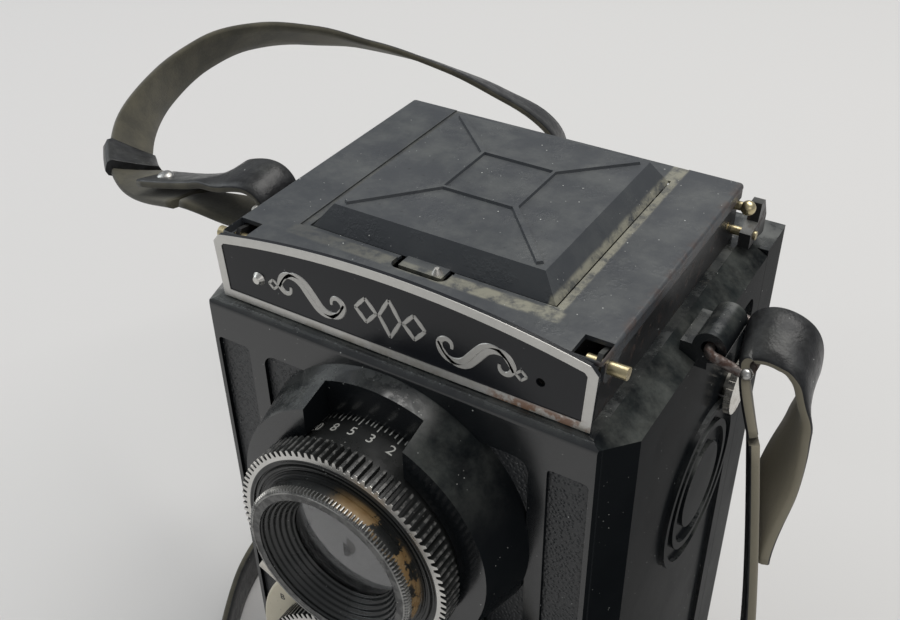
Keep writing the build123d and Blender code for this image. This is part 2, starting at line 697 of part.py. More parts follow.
def glass(axis_z, radius, back, front, bulge):
    """A lens element between two planes, with a domed front face."""
    dome_r = (radius**2 + bulge**2) / (2 * bulge)
    half_sag = dome_r - sqrt(dome_r**2 - radius**2 / 4)
    middle = (front - bulge + half_sag, axis_z + radius / 2)
    with BuildPart() as element:
        with BuildSketch(side_plane(0)):
            with BuildLine():
                Line((back, axis_z), (back, axis_z + radius))
                Line((back, axis_z + radius), (front, axis_z + radius))
                ThreePointArc((front, axis_z + radius), middle, (front - bulge, axis_z))
                Line((front - bulge, axis_z), (back, axis_z))
            make_face()
        revolve(axis=Axis((0, 0, axis_z), (0, 1, 0)))
    return element


viewing_focus_ring = focus_ring(VIEWING_Z, 0.5, -21.6)
viewing_focus_ring.part.label = "viewing_focus_ring"
export_step(viewing_focus_ring.part, "parts/viewing_focus_ring.step")

taking_focus_ring = focus_ring(TAKING_Z, 0.0, RING_BACK + 0.02)
taking_focus_ring.part.label = "taking_focus_ring"
export_step(taking_focus_ring.part, "parts/taking_focus_ring.step")

viewing_front_glass = glass(VIEWING_Z, GLASS_R, -32.5, -33.15, 0.4)
viewing_front_glass.part.label = "viewing_front_glass"
export_step(viewing_front_glass.part, "parts/viewing_front_glass.step")

taking_front_glass = glass(TAKING_Z, GLASS_R, -32.5, -33.15, 0.4)
taking_front_glass.part.label = "taking_front_glass"
export_step(taking_front_glass.part, "parts/taking_front_glass.step")

viewing_tube = turned(
    (
        (TUBE_BORE, -31.6),
        (TUBE_R, -31.6),
        (TUBE_R, FRONT_Y - 1.0),
        (16.2, FRONT_Y - 1.0),
        (16.2, FRONT_Y - 0.02),
        (TUBE_R, FRONT_Y - 0.02),
        (TUBE_R, -14.6),
        (TUBE_BORE, -14.6),
    ),
    VIEWING_Z,
)
viewing_tube.part.label = "viewing_tube"
export_step(viewing_tube.part, "parts/viewing_tube.step")

viewing_rear_glass = glass(VIEWING_Z, TUBE_BORE - 0.03, -19.0, -21.8, 0.8)
viewing_rear_glass.part.label = "viewing_rear_glass"
export_step(viewing_rear_glass.part, "parts/viewing_rear_glass.step")

SHUTTER_R = 24.3       # outer radius of the shutter case
CASE_BACK = FRONT_Y - 0.02
CASE_FRONT = -29.0     # front rim of the case
FACE_FRONT = -29.9     # front of the shutter face

taking_front_tube = turned(
    (
        (TUBE_BORE, -31.6),
        (TUBE_R, -31.6),
        (TUBE_R, -27.0),
        (15.2, -27.0),
        (15.2, -26.2),
        (10.0, -26.2),
        (10.0, -27.0),
        (TUBE_BORE, -27.0),
    ),
    TAKING_Z,
)
taking_front_tube.part.label = "taking_front_tube"
export_step(taking_front_tube.part, "parts/taking_front_tube.step")

taking_rear_tube = turned(
    (
        (10.4, -24.0),
        (15.2, -24.0),
        (15.2, -23.2),
        (12.3, -23.2),
        (12.3, -13.4),
        (10.4, -13.4),
    ),
    TAKING_Z,
)
taking_rear_tube.part.label = "taking_rear_tube"
export_step(taking_rear_tube.part, "parts/taking_rear_tube.step")

taking_rear_glass = glass(TAKING_Z, 10.35, -17.0, -20.0, 0.8)
taking_rear_glass.part.label = "taking_rear_glass"
export_step(taking_rear_glass.part, "parts/taking_rear_glass.step")

with BuildPart() as lens_nuts:
    for axis_z, bore in ((VIEWING_Z, TUBE_R), (TAKING_Z, 12.3)):
        with BuildSketch(front_plane(-14.9)):
            with Locations((0, axis_z)):
                Circle(14.8)
                Circle(bore + 0.02, mode=Mode.SUBTRACT)
                with PolarLocations(14.8, 4, start_angle=45):
                    Rectangle(2.0, 1.6, mode=Mode.SUBTRACT)
        extrude(amount=2.05)
lens_nuts.part.label = "lens_nuts"
export_step(lens_nuts.part, "parts/lens_nuts.step")

# ---------------------------------------------------------------- shutter
LEVER_T = 0.8          # thickness of the shutter's levers
COCK_Y = -20.95        # rear face of the cocking lever
RELEASE_Y = -22.05     # rear face of the release lever
APERTURE_Y = -27.75    # rear face of the aperture lever
SOCKET_Y = -25.2       # depth of the two sockets in the case's wall
SYNC_ANGLE = 152       # flash socket, seen from the front
SYNC_R = 2.6
CABLE_ANGLE = 236      # cable release socket
CABLE_R = 2.3


def at_angle(angle, radius):
    """X and Z of a point beside the taking lens axis, seen from the front."""
    return (radius * cos(radians(angle)), TAKING_Z + radius * sin(radians(angle)))


def outward(angle, radius):
    """A plane across a spoke of the shutter, whose normal points away from the lens axis."""
    x, z = at_angle(angle, radius)
    return Plane(origin=(x, SOCKET_Y, z), z_dir=(cos(radians(angle)), 0, sin(radians(angle))))


SELF_PIVOT = at_angle(28, 20.6)     # pivot of the self-timer lever

with BuildPart() as shutter_case:
    with BuildSketch(front_plane(CASE_BACK)):
        with Locations((0, TAKING_Z)):
            Circle(SHUTTER_R)
        with Locations((0, VIEWING_Z)):
            Circle(DRUM_R + 0.4, mode=Mode.SUBTRACT)
    extrude(amount=CASE_BACK - CASE_FRONT)
    with BuildSketch(front_plane(CASE_BACK - 0.8)):
        with Locations((0, TAKING_Z)):
            Circle(SHUTTER_R - 1.0)
        with Locations((0, VIEWING_Z)):
            Circle(DRUM_R + 1.4, mode=Mode.SUBTRACT)
    extrude(amount=10.0, mode=Mode.SUBTRACT)
    for angle, outer in ((SYNC_ANGLE, SYNC_R), (CABLE_ANGLE, CABLE_R)):
        with BuildSketch(outward(angle, SHUTTER_R - 4.0)):
            Circle(outer + 0.03)
        extrude(amount=6.0, mode=Mode.SUBTRACT)
    with BuildSketch(front_plane(CASE_BACK + 0.5)):
        with Locations((0, TAKING_Z)):
            Circle(12.32)
    extrude(amount=3.0, mode=Mode.SUBTRACT)
    # slots in the wall for the levers: middle angle, width in degrees, front and rear depth
    for angle, width, back, front in (
        (-32, 62, COCK_Y + 0.15, COCK_Y - LEVER_T - 0.15),
        (205, 34, RELEASE_Y + 0.15, RELEASE_Y - LEVER_T - 0.15),
        (-75, 70, APERTURE_Y + 0.15, APERTURE_Y - LEVER_T - 0.15),
    ):
        with BuildSketch(front_plane(back)):
            with BuildLine():
                Polyline(
                    at_angle(angle, SHUTTER_R - 3),
                    at_angle(angle - width / 2, SHUTTER_R - 3),
                    at_angle(angle - width / 2, SHUTTER_R + 8),
                    at_angle(angle, SHUTTER_R + 12),
                    at_angle(angle + width / 2, SHUTTER_R + 8),
                    at_angle(angle + width / 2, SHUTTER_R - 3),
                    close=True,
                )
            make_face()
        extrude(amount=back - front, mode=Mode.SUBTRACT)
shutter_case.part.label = "shutter_case"
export_step(shutter_case.part, "parts/shutter_case.step")

with BuildPart() as shutter_face:
    with BuildSketch(front_plane(CASE_FRONT - 0.02)):
        with Locations((0, TAKING_Z)):
            Circle(SHUTTER_R)
            Circle(TUBE_R + 0.05, mode=Mode.SUBTRACT)
    extrude(amount=CASE_FRONT - FACE_FRONT)
    fillet(shutter_face.faces().sort_by(Axis.Y)[0].edges().sort_by(SortBy.LENGTH)[-1], radius=0.6)
    with BuildSketch(front_plane(CASE_FRONT + 1)):
        with Locations((0, VIEWING_Z)):
            Circle(DRUM_R + 1.6)
        with Locations(SELF_PIVOT):
            Circle(0.86)
        with Locations((0, TAKING_Z - 21.4)):
            RectangleRounded(14.0, 2.2, 1.0)
    extrude(amount=2.5, mode=Mode.SUBTRACT)
shutter_face.part.label = "shutter_face"
export_step(shutter_face.part, "parts/shutter_face.step")


def ring_lever(y_back, inner, outer, angle, reach, width):
    """A thin ring about the taking axis with one arm that leaves the case at the given angle."""
    with BuildPart() as lever:
        with BuildSketch(front_plane(y_back)):
            with Locations((0, TAKING_Z)):
                Circle(outer)
                with Locations(Rotation(0, 0, angle)):
                    with Locations(((inner + reach) / 2, 0)):
                        Rectangle(reach - inner, width)
                    with Locations((reach, 0)):
                        Circle(width / 2 + 0.6)
                Circle(inner, mode=Mode.SUBTRACT)
        extrude(amount=LEVER_T)
    return lever


cocking_lever = ring_lever(COCK_Y, 15.6, 18.6, -8, 29.0, 3.2)
cocking_lever.part.label = "cocking_lever"
export_step(cocking_lever.part, "parts/cocking_lever.step")

release_lever = ring_lever(RELEASE_Y, 15.6, 18.6, 212, 29.5, 3.6)
release_lever.part.label = "release_lever"
export_step(release_lever.part, "parts/release_lever.step")

aperture_lever = ring_lever(APERTURE_Y, 15.6, 18.0, -100, 27.6, 2.6)
aperture_lever.part.label = "aperture_lever"
export_step(aperture_lever.part, "parts/aperture_lever.step")

with BuildPart() as speed_ring:
    with BuildSketch(front_plane(FACE_FRONT - 0.06)):
        with Locations((0, TAKING_Z)):
            Circle(17.0)
            Circle(TUBE_R + 0.12, mode=Mode.SUBTRACT)
    extrude(amount=0.5)
speed_ring.part.label = "speed_ring"
export_step(speed_ring.part, "parts/speed_ring.step")

with BuildPart() as diaphragm_blades:
    for turn in range(5):
        with BuildSketch(front_plane(-25.3 - 0.14 * turn)):
            with Locations((0, TAKING_Z)):
                with Locations(Rotation(0, 0, 72 * turn)):
                    with Locations((11.6, 0)):
                        SlotOverall(10.0, 3.4, rotation=90)
        extrude(amount=0.1)
diaphragm_blades.part.label = "diaphragm_blades"
export_step(diaphragm_blades.part, "parts/diaphragm_blades.step")


BLADE_PIVOT = 13.4     # distance of the shutter blades' pivots from the axis


def shutter_blade(angle, y_back):
    """A sector blade that closes half of the aperture and swings about its pivot pin."""
    with BuildPart() as blade:
        with BuildSketch(front_plane(y_back)):
            with Locations((0, TAKING_Z)):
                with Locations(Rotation(0, 0, angle)):
                    with Locations((0, 0)):
                        Circle(9.4)
                        with Locations((0, 7.3)):
                            Rectangle(20.0, 14.0, mode=Mode.SUBTRACT)
                    with Locations((11.0, -1.6)):
                        Rectangle(6.4, 2.8)
                    with Locations((BLADE_PIVOT, 0)):
                        Circle(1.5)
        extrude(amount=0.12)
        with BuildSketch(front_plane(y_back + 0.25)):
            with Locations(at_angle(angle, BLADE_PIVOT)):
                Circle(0.5)
        extrude(amount=0.9)
    return blade


shutter_blade_upper = shutter_blade(180, -24.62)
shutter_blade_upper.part.label = "shutter_blade_upper"
export_step(shutter_blade_upper.part, "parts/shutter_blade_upper.step")

shutter_blade_lower = shutter_blade(0, -24.32)
shutter_blade_lower.part.label = "shutter_blade_lower"
export_step(shutter_blade_lower.part, "parts/shutter_blade_lower.step")


def socket(angle, length, outer, bore, depth):
    """A small turned socket that stands out from the case's wall, blind to the given depth."""
    with BuildPart() as body:
        with BuildSketch(outward(angle, SHUTTER_R - 0.9)):
            Circle(outer)
        extrude(amount=length)
        with BuildSketch(outward(angle, SHUTTER_R - 0.9 + length - depth)):
            Circle(bore)
        extrude(amount=depth + 1, mode=Mode.SUBTRACT)
    return body


sync_socket = socket(SYNC_ANGLE, 5.4, SYNC_R, 1.75, 3.6)
sync_socket.part.label = "sync_socket"
export_step(sync_socket.part, "parts/sync_socket.step")

cable_socket = socket(CABLE_ANGLE, 5.6, CABLE_R, 1.5, 4.0)
cable_socket.part.label = "cable_socket"
export_step(cable_socket.part, "parts/cable_socket.step")

with BuildPart() as self_timer_lever:
    with BuildSketch(front_plane(FACE_FRONT - 0.1)):
        with Locations(SELF_PIVOT):
            Circle(1.5)
            with Locations(Rotation(0, 0, -55)):
                with Locations((4.4, 0)):
                    SlotOverall(9.4, 1.8)
    extrude(amount=0.45)
    with BuildSketch(front_plane(CASE_FRONT + 1.4)):
        with Locations(SELF_PIVOT):
            Circle(0.8)
    extrude(amount=2.4)
self_timer_lever.part.label = "self_timer_lever"
export_step(self_timer_lever.part, "parts/self_timer_lever.step")

# ---------------------------------------------------------------- film transport
KNOB_R = 11.0          # winding knob radius
KNOB_X = (-47.5, -39.0)    # its outer and inner end
SHAFT_R = 2.5          # shafts and pins in the chamber walls
FLANGE_T = 1.0         # thickness of a spool flange


def spool(axis):
    """A 120 film spool along X about the given Y and Z, with a slotted bore."""
    with BuildPart() as reel:
        for x in (-SPOOL_HALF, SPOOL_HALF - FLANGE_T):
            with BuildSketch(side_plane(x)):
                with Locations(axis):
                    Circle(SPOOL_R)
            extrude(amount=FLANGE_T)
        with BuildSketch(side_plane(-SPOOL_HALF)):
            with Locations(axis):
                Circle(6.0)
        extrude(amount=2 * SPOOL_HALF)
        with BuildSketch(side_plane(-SPOOL_HALF - 1)):
            with Locations(axis):
                Circle(2.66)
                Rectangle(7.0, 1.7)
        extrude(amount=2 * SPOOL_HALF + 2, mode=Mode.SUBTRACT)
    return reel


take_up_spool = spool(TAKE_UP)
take_up_spool.part.label = "take_up_spool"
export_step(take_up_spool.part, "parts/take_up_spool.step")

supply_spool = spool(SUPPLY)
supply_spool.part.label = "supply_spool"
export_step(supply_spool.part, "parts/supply_spool.step")

with BuildPart() as advance_knob:
    with BuildSketch(side_plane(KNOB_X[0])):
        with Locations(TAKE_UP):
            Circle(KNOB_R)
            with PolarLocations(KNOB_R + 0.25, 44):
                Circle(0.5, mode=Mode.SUBTRACT)
    extrude(amount=KNOB_X[1] - KNOB_X[0])
    with BuildSketch(side_plane(KNOB_X[0])):
        with Locations(TAKE_UP):
            Circle(8.6)
    extrude(amount=0.8, mode=Mode.SUBTRACT)
    with BuildSketch(side_plane(KNOB_X[0])):
        with Locations(TAKE_UP):
            Circle(SHAFT_R)
    extrude(amount=20.0, mode=Mode.SUBTRACT)
advance_knob.part.label = "advance_knob"
export_step(advance_knob.part, "parts/advance_knob.step")

with BuildPart() as winding_shaft:
    with BuildSketch(side_plane(KNOB_X[0] + 0.2)):
        with Locations(TAKE_UP):
            Circle(SHAFT_R)
    extrude(amount=-SPOOL_HALF + 3.0 - KNOB_X[0] - 0.2)
    with BuildSketch(side_plane(-SPOOL_HALF - 0.1)):
        with Locations(TAKE_UP):
            Rectangle(6.4, 1.3)
    extrude(amount=3.1)
winding_shaft.part.label = "winding_shaft"
export_step(winding_shaft.part, "parts/winding_shaft.step")

PULL = 5.0             # travel of the spring-loaded spool knobs


def spool_knob(axis):
    """A pull knob on the right side, whose pin carries one end of a spool."""
    with BuildPart() as knob:
        with BuildSketch(side_plane(SPOOL_HALF - 4.0)):
            with Locations(axis):
                Circle(SHAFT_R)
        extrude(amount=HALF_W + 1.6 - SPOOL_HALF + 4.0)
        with BuildSketch(side_plane(HALF_W + 0.3)):
            with Locations(axis):
                Circle(5.4)
                with PolarLocations(5.6, 24):
                    Circle(0.35, mode=Mode.SUBTRACT)
        extrude(amount=1.3)
    return knob


upper_spool_knob = spool_knob(TAKE_UP)
upper_spool_knob.part.label = "upper_spool_knob"
export_step(upper_spool_knob.part, "parts/upper_spool_knob.step")

lower_spool_knob = spool_knob(SUPPLY)
lower_spool_knob.part.label = "lower_spool_knob"
export_step(lower_spool_knob.part, "parts/lower_spool_knob.step")

with BuildPart() as spool_pivot:
    with BuildSketch(side_plane(-HALF_W - 0.6)):
        with Locations(SUPPLY):
            Circle(SHAFT_R)
    extrude(amount=HALF_W - SPOOL_HALF + 4.6)
    with BuildSketch(side_plane(-HALF_W + 0.75)):
        with Locations(SUPPLY):
            Circle(4.0)
    extrude(amount=-1.3)
spool_pivot.part.label = "spool_pivot"
export_step(spool_pivot.part, "parts/spool_pivot.step")


def film_roller(axis):
    """A steel roller across the film path with its two journals."""
    with BuildPart() as roller:
        with BuildSketch(side_plane(-30.2)):
            with Locations(axis):
                Circle(ROLLER_R)
        extrude(amount=60.4)
        with BuildSketch(side_plane(-32.3)):
            with Locations(axis):
                Circle(1.0)
        extrude(amount=64.6)
    return roller


upper_film_roller = film_roller(ROLLERS[1])
upper_film_roller.part.label = "upper_film_roller"
export_step(upper_film_roller.part, "parts/upper_film_roller.step")

lower_film_roller = film_roller(ROLLERS[0])
lower_film_roller.part.label = "lower_film_roller"
export_step(lower_film_roller.part, "parts/lower_film_roller.step")

# ---------------------------------------------------------------- back door
WINDOW_Z = 34.0        # height of the red window
DOOR_WALL = 2.4        # door wall thickness
COVER_TRAVEL = 13.0    # travel of the window's cover

with BuildPart() as back_door:
    with BuildSketch(side_plane(-HALF_W)):
        with BuildLine():
            Polyline(
                (SEAM_Y + 0.12, 0),
                (DOOR_Y - 2.0, 0),
                (DOOR_Y, 2.0),
                (DOOR_Y, DOOR_TOP - 3.0),
                (DOOR_Y - 3.0, DOOR_TOP),
                (SEAM_Y + 0.12, DOOR_TOP),
                close=True,
            )
        make_face()
    extrude(amount=2 * HALF_W)
    rear_corners = back_door.faces().sort_by(Axis.Y)[-1].edges().filter_by(Axis.Z)
    fillet(rear_corners, radius=4.0)
    with Locations((0, (SEAM_Y + DOOR_Y - DOOR_WALL) / 2, (DOOR_WALL + DOOR_TOP - DOOR_WALL) / 2)):
        Box(
            2 * (HALF_W - WALL) - 1.4,
            DOOR_Y - DOOR_WALL - SEAM_Y,
            DOOR_TOP - 2 * DOOR_WALL,
            mode=Mode.SUBTRACT,
        )
    with Locations((0, DOOR_Y - DOOR_WALL / 2, WINDOW_Z)):
        Box(9.0, 20.0, 9.0, mode=Mode.SUBTRACT)
    # guides for the window's cover
    for z in (WINDOW_Z - 8.2, WINDOW_Z + 8.2):
        with Locations((COVER_TRAVEL / 2, DOOR_Y + 0.5, z)):
            Box(34.0, 1.6, 1.4)
    # gaps for the body's hinge knuckles, and the door's own knuckle
    for side in (-1, 1):
        with Locations((side * 25.0, SEAM_Y + 1.0, 1.5)):
            Box(10.6, 2.6, 3.4, mode=Mode.SUBTRACT)
    door_knuckle = Plane(origin=(-19.4, *DOOR_HINGE), x_dir=(0, 1, 0), z_dir=(1, 0, 0))
    with BuildSketch(door_knuckle):
        Circle(1.3)
    extrude(amount=38.8)
    with BuildSketch(Plane(origin=(-40, *DOOR_HINGE), x_dir=(0, 1, 0), z_dir=(1, 0, 0))):
        Circle(0.66)
    extrude(amount=80.0, mode=Mode.SUBTRACT)
back_door.part.label = "back_door"
export_step(back_door.part, "parts/back_door.step")

with BuildPart() as door_hinge_pin:
    with BuildSketch(Plane(origin=(-30.5, *DOOR_HINGE), x_dir=(0, 1, 0), z_dir=(1, 0, 0))):
        Circle(0.6)
    extrude(amount=61.0)
door_hinge_pin.part.label = "door_hinge_pin"
export_step(door_hinge_pin.part, "parts/door_hinge_pin.step")

with BuildPart() as red_window:
    with BuildSketch(front_plane(DOOR_Y - DOOR_WALL - 0.02)):
        with Locations((0, WINDOW_Z)):
            RectangleRounded(13.0, 13.0, 1.0)
    extrude(amount=0.8)
red_window.part.label = "red_window"
export_step(red_window.part, "parts/red_window.step")

with BuildPart() as window_cover:
    with BuildSketch(front_plane(DOOR_Y + 0.75)):
        with Locations((0, WINDOW_Z)):
            RectangleRounded(14.0, 14.6, 1.0)
    extrude(amount=0.7)
    for x in (-2.0, 0.0, 2.0):
        with Locations((x, DOOR_Y + 1.0, WINDOW_Z)):
            Box(0.8, 0.7, 9.0)
window_cover.part.label = "window_cover"
export_step(window_cover.part, "parts/window_cover.step")

PLATE_GAP = FILM_Y + 0.55      # front face of the pressure plate
with BuildPart() as pressure_plate:
    with BuildSketch(front_plane(PLATE_GAP + 0.8)):
        with Locations((0, TAKING_Z)):
            Rectangle(62.0, 62.0)
        with Locations((0, WINDOW_Z)):
            Rectangle(13.6, 13.6, mode=Mode.SUBTRACT)
    extrude(amount=0.8)
pressure_plate.part.label = "pressure_plate"
export_step(pressure_plate.part, "parts/pressure_plate.step")

with BuildPart() as pressure_springs:
    for side in (-1, 1):
        with BuildSketch(side_plane(side * 16.0 - 4.0)):
            with BuildLine():
                Polyline(
                    (DOOR_Y - DOOR_WALL - 0.02, TAKING_Z + 26.0),
                    (DOOR_Y - DOOR_WALL - 0.27, TAKING_Z + 26.0),
                    (PLATE_GAP + 0.85, TAKING_Z + 3.0),
                    (PLATE_GAP + 0.85, TAKING_Z - 3.0),
                    (DOOR_Y - DOOR_WALL - 0.27, TAKING_Z - 26.0),
                    (DOOR_Y - DOOR_WALL - 0.02, TAKING_Z - 26.0),
                    (PLATE_GAP + 1.1, TAKING_Z - 3.0),
                    (PLATE_GAP + 1.1, TAKING_Z + 3.0),
                    close=True,
                )
            make_face()
        extrude(amount=8.0)
pressure_springs.part.label = "pressure_springs"
export_step(pressure_springs.part, "parts/pressure_springs.step")

# ---------------------------------------------------------------- door catch and hood catch
CATCH_X = 35.2         # middle of the door catch
CATCH_PIVOT = (39.6, 118.3)    # Y and Z of its rivet

with BuildPart() as door_catch:
    with BuildSketch(side_plane(CATCH_X - 1.0)):
        with BuildLine():
            Polyline(
                (37.4, 116.6),
                (42.0, 116.6),
                (44.6, 116.0),
                (45.6, 116.0),
                (45.6, 119.6),
                (43.4, 123.4),
                (41.6, 123.4),
                (40.8, 120.2),
                (37.4, 119.4),
                close=True,
            )
        make_face()
    extrude(amount=2.0)
    with BuildSketch(side_plane(CATCH_X - 2.0)):
        with Locations(CATCH_PIVOT):
            Circle(0.83)
    extrude(amount=4.0, mode=Mode.SUBTRACT)
door_catch.part.label = "door_catch"
export_step(door_catch.part, "parts/door_catch.step")

# ---------------------------------------------------------------- pins riveted into the hood's tray
with BuildPart() as hood_pins:
    for side in (-1, 1):
        with BuildSketch(side_plane(side * 32.9 - 3.1)):
            with Locations(HINGE):
                Circle(PIN_R)
        extrude(amount=6.2)
        with BuildSketch(front_plane(34.6)):
            with Locations((side * WALL_HINGE_X, WALL_HINGE_Z)):
                Circle(0.6)
        extrude(amount=43.2)
    with BuildSketch(side_plane(-TRAY_HALF)):
        with Locations(REAR_HINGE):
            Circle(0.6)
    extrude(amount=2 * TRAY_HALF)
    with BuildSketch(side_plane(TRAY_HALF + 0.01)):
        with Locations(CATCH_PIVOT):
            Circle(0.8)
    extrude(amount=4.4)
    with BuildSketch(side_plane(TRAY_HALF + 0.01)):
        with Locations((38.2, 124.0)):
            Circle(0.8)
    extrude(amount=2.2)
    with Locations((TRAY_HALF + 2.6, 38.2, 124.0)):
        Sphere(1.3)
hood_pins.part.label = "hood_pins"
export_step(hood_pins.part, "parts/hood_pins.step")

# ---------------------------------------------------------------- neck strap
STRAP_W = 10.0         # width of the leather strap
STRAP_T = 1.6          # its thickness
WIRE_R = 0.8           # wire of the two strap rings
RING_OUT = 6.8         # how far a ring's outer bar stands out from its lug's bore
RING_DROOP = 15        # degrees that each ring hangs below level
RING_Y = (6.4, 18.3)   # its front and rear legs
STRAP_ROUTE = (
    (-66.5, 9.5, 110.8),
    (-78.0, 12.0, 107.6),
    (-90.0, 16.0, 106.0),
    (-98.5, 23.0, 105.6),
    (-106.0, 33.0, 107.8),
    (-112.0, 51.0, 110.5),
    (-110.0, 68.0, 114.0),
    (-103.5, 87.0, 111.5),
    (-86.0, 108.5, 102.5),
    (-66.0, 121.0, 92.5),
    (-47.0, 136.0, 76.5),
    (-48.0, 139.0, 58.0),
    (-51.0, 136.0, 40.0),
    (-55.0, 125.0, 22.0),
    (-60.0, 106.0, 10.0),
    (-65.0, 80.0, 5.7),
    (-68.0, 52.0, 5.3),
    (-69.0, 25.0, 5.3),
    (-66.5, 6.0, 5.3),
    (-60.0, -8.0, 5.3),
    (-50.0, -24.0, 5.3),
    (-35.0, -42.0, 5.3),
    (-14.0, -55.0, 5.3),
    (11.0, -59.0, 5.3),
    (36.0, -52.0, 5.9),
    (53.0, -37.0, 11.0),
    (60.0, -22.0, 26.0),
    (60.0, -12.0, 47.0),
    (57.0, -6.0, 70.0),
    (53.0, -0.8, 91.0),
    (49.8, 5.0, 105.5),
)


def bend_radii(route):
    """The largest arc that each corner's two runs leave room for, and the corners' turns."""
    radii = []
    for before, corner, after in zip(route, route[1:], route[2:]):
        run_in = Vector(*corner) - Vector(*before)
        run_out = Vector(*after) - Vector(*corner)
        half_turn = radians(run_in.get_angle(run_out) / 2)
        radii.append(0.45 * min(run_in.length, run_out.length) / tan(half_turn))
    return radii


with BuildPart() as neck_strap:
    with BuildLine() as strap_line:
        FilletPolyline(*STRAP_ROUTE, radius=bend_radii(STRAP_ROUTE))
    with BuildSketch(Plane(origin=strap_line.line @ 0, z_dir=strap_line.line % 0)):
        Circle(STRAP_W / 2)
    sweep(path=strap_line.line)
neck_strap.part.label = "neck_strap"
export_step(neck_strap.part, "parts/neck_strap.step")
print("strap bend radii", [round(radius, 1) for radius in bend_radii(STRAP_ROUTE)])
STRAP_LENGTH = sum(edge.length for edge in strap_line.edges())
print("strap length", round(STRAP_LENGTH, 1))
print("volume over section times length", neck_strap.part.volume / (STRAP_LENGTH * STRAP_W**2 * pi / 4))

with BuildPart() as wire_rings:
    for side in (-1, 1):
        droop = radians(RING_DROOP)
        ring_plane = Plane(
            origin=(side * LUG[0], 0, LUG[1]),
            x_dir=(side * cos(droop), 0, -sin(droop)),
            z_dir=(sin(droop), 0, side * cos(droop)),
        )
        corners = ((0, RING_Y[0]), (RING_OUT, RING_Y[0]), (RING_OUT, RING_Y[1]), (0, RING_Y[1]))
        with BuildLine(ring_plane) as ring_line:
            FilletPolyline(*corners, radius=1.4, close=True)
        with BuildSketch(Plane(origin=ring_line.line @ 0, z_dir=ring_line.line % 0)):
            Circle(WIRE_R)
        sweep(path=ring_line.line)
wire_rings.part.label = "wire_rings"
export_step(wire_rings.part, "parts/wire_rings.step")

LOOP_Y = 17.4          # rear edge of both folded ends
ARCH_R = 4.6           # outer radius of the right fold
ARCH_X = (49.3, 53.6)  # the right fold's two bends
ARCH_Z = 114.6         # their height

with BuildPart() as strap_loops:
    # right end: folded over the ring's outer bar, its cut tail hanging beside the strap
    with BuildSketch(front_plane(LOOP_Y)):
        with BuildSketch(mode=Mode.PRIVATE) as arch:
            with Locations(*[(x, ARCH_Z) for x in ARCH_X]):
                Circle(ARCH_R)
            make_hull()
        add(arch.sketch)
        offset(arch.sketch, amount=-STRAP_T, mode=Mode.SUBTRACT)
        with Locations((sum(ARCH_X) / 2, ARCH_Z - ARCH_R)):
            Rectangle(20.0, 2 * ARCH_R, mode=Mode.SUBTRACT)
    extrude(amount=STRAP_W)
    with BuildSketch(side_plane(ARCH_X[0] - ARCH_R)):
        with BuildLine():
            Polyline((7.4, ARCH_Z + 0.1), (17.4, ARCH_Z + 0.1), (12.0, 103.0), (1.6, 103.0), close=True)
        make_face()
    extrude(amount=STRAP_T)
    with BuildSketch(side_plane(ARCH_X[1] + ARCH_R - STRAP_T)):
        with BuildLine():
            Polyline((7.4, ARCH_Z + 0.1), (17.4, ARCH_Z + 0.1), (4.6, 85.0), (-4.8, 88.2), close=True)
        make_face()
    extrude(amount=STRAP_T)
    # left end: a closed loop round the ring's bar, drawn out into the strap
    with BuildSketch(front_plane(LOOP_Y)):
        with BuildSketch(mode=Mode.PRIVATE) as drop:
            with Locations((-49.2, 114.9)):
                Circle(4.1)
            with Locations((-65.5, 111.3)):
                Circle(2.0)
            make_hull()
        add(drop.sketch)
        offset(drop.sketch, amount=-STRAP_T, mode=Mode.SUBTRACT)
    extrude(amount=STRAP_W)
strap_loops.part.label = "strap_loops"
export_step(strap_loops.part, "parts/strap_loops.step")
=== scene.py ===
"""Looks of a folding-hood twin-lens reflex camera with a leather neck strap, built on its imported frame."""

import json
import math

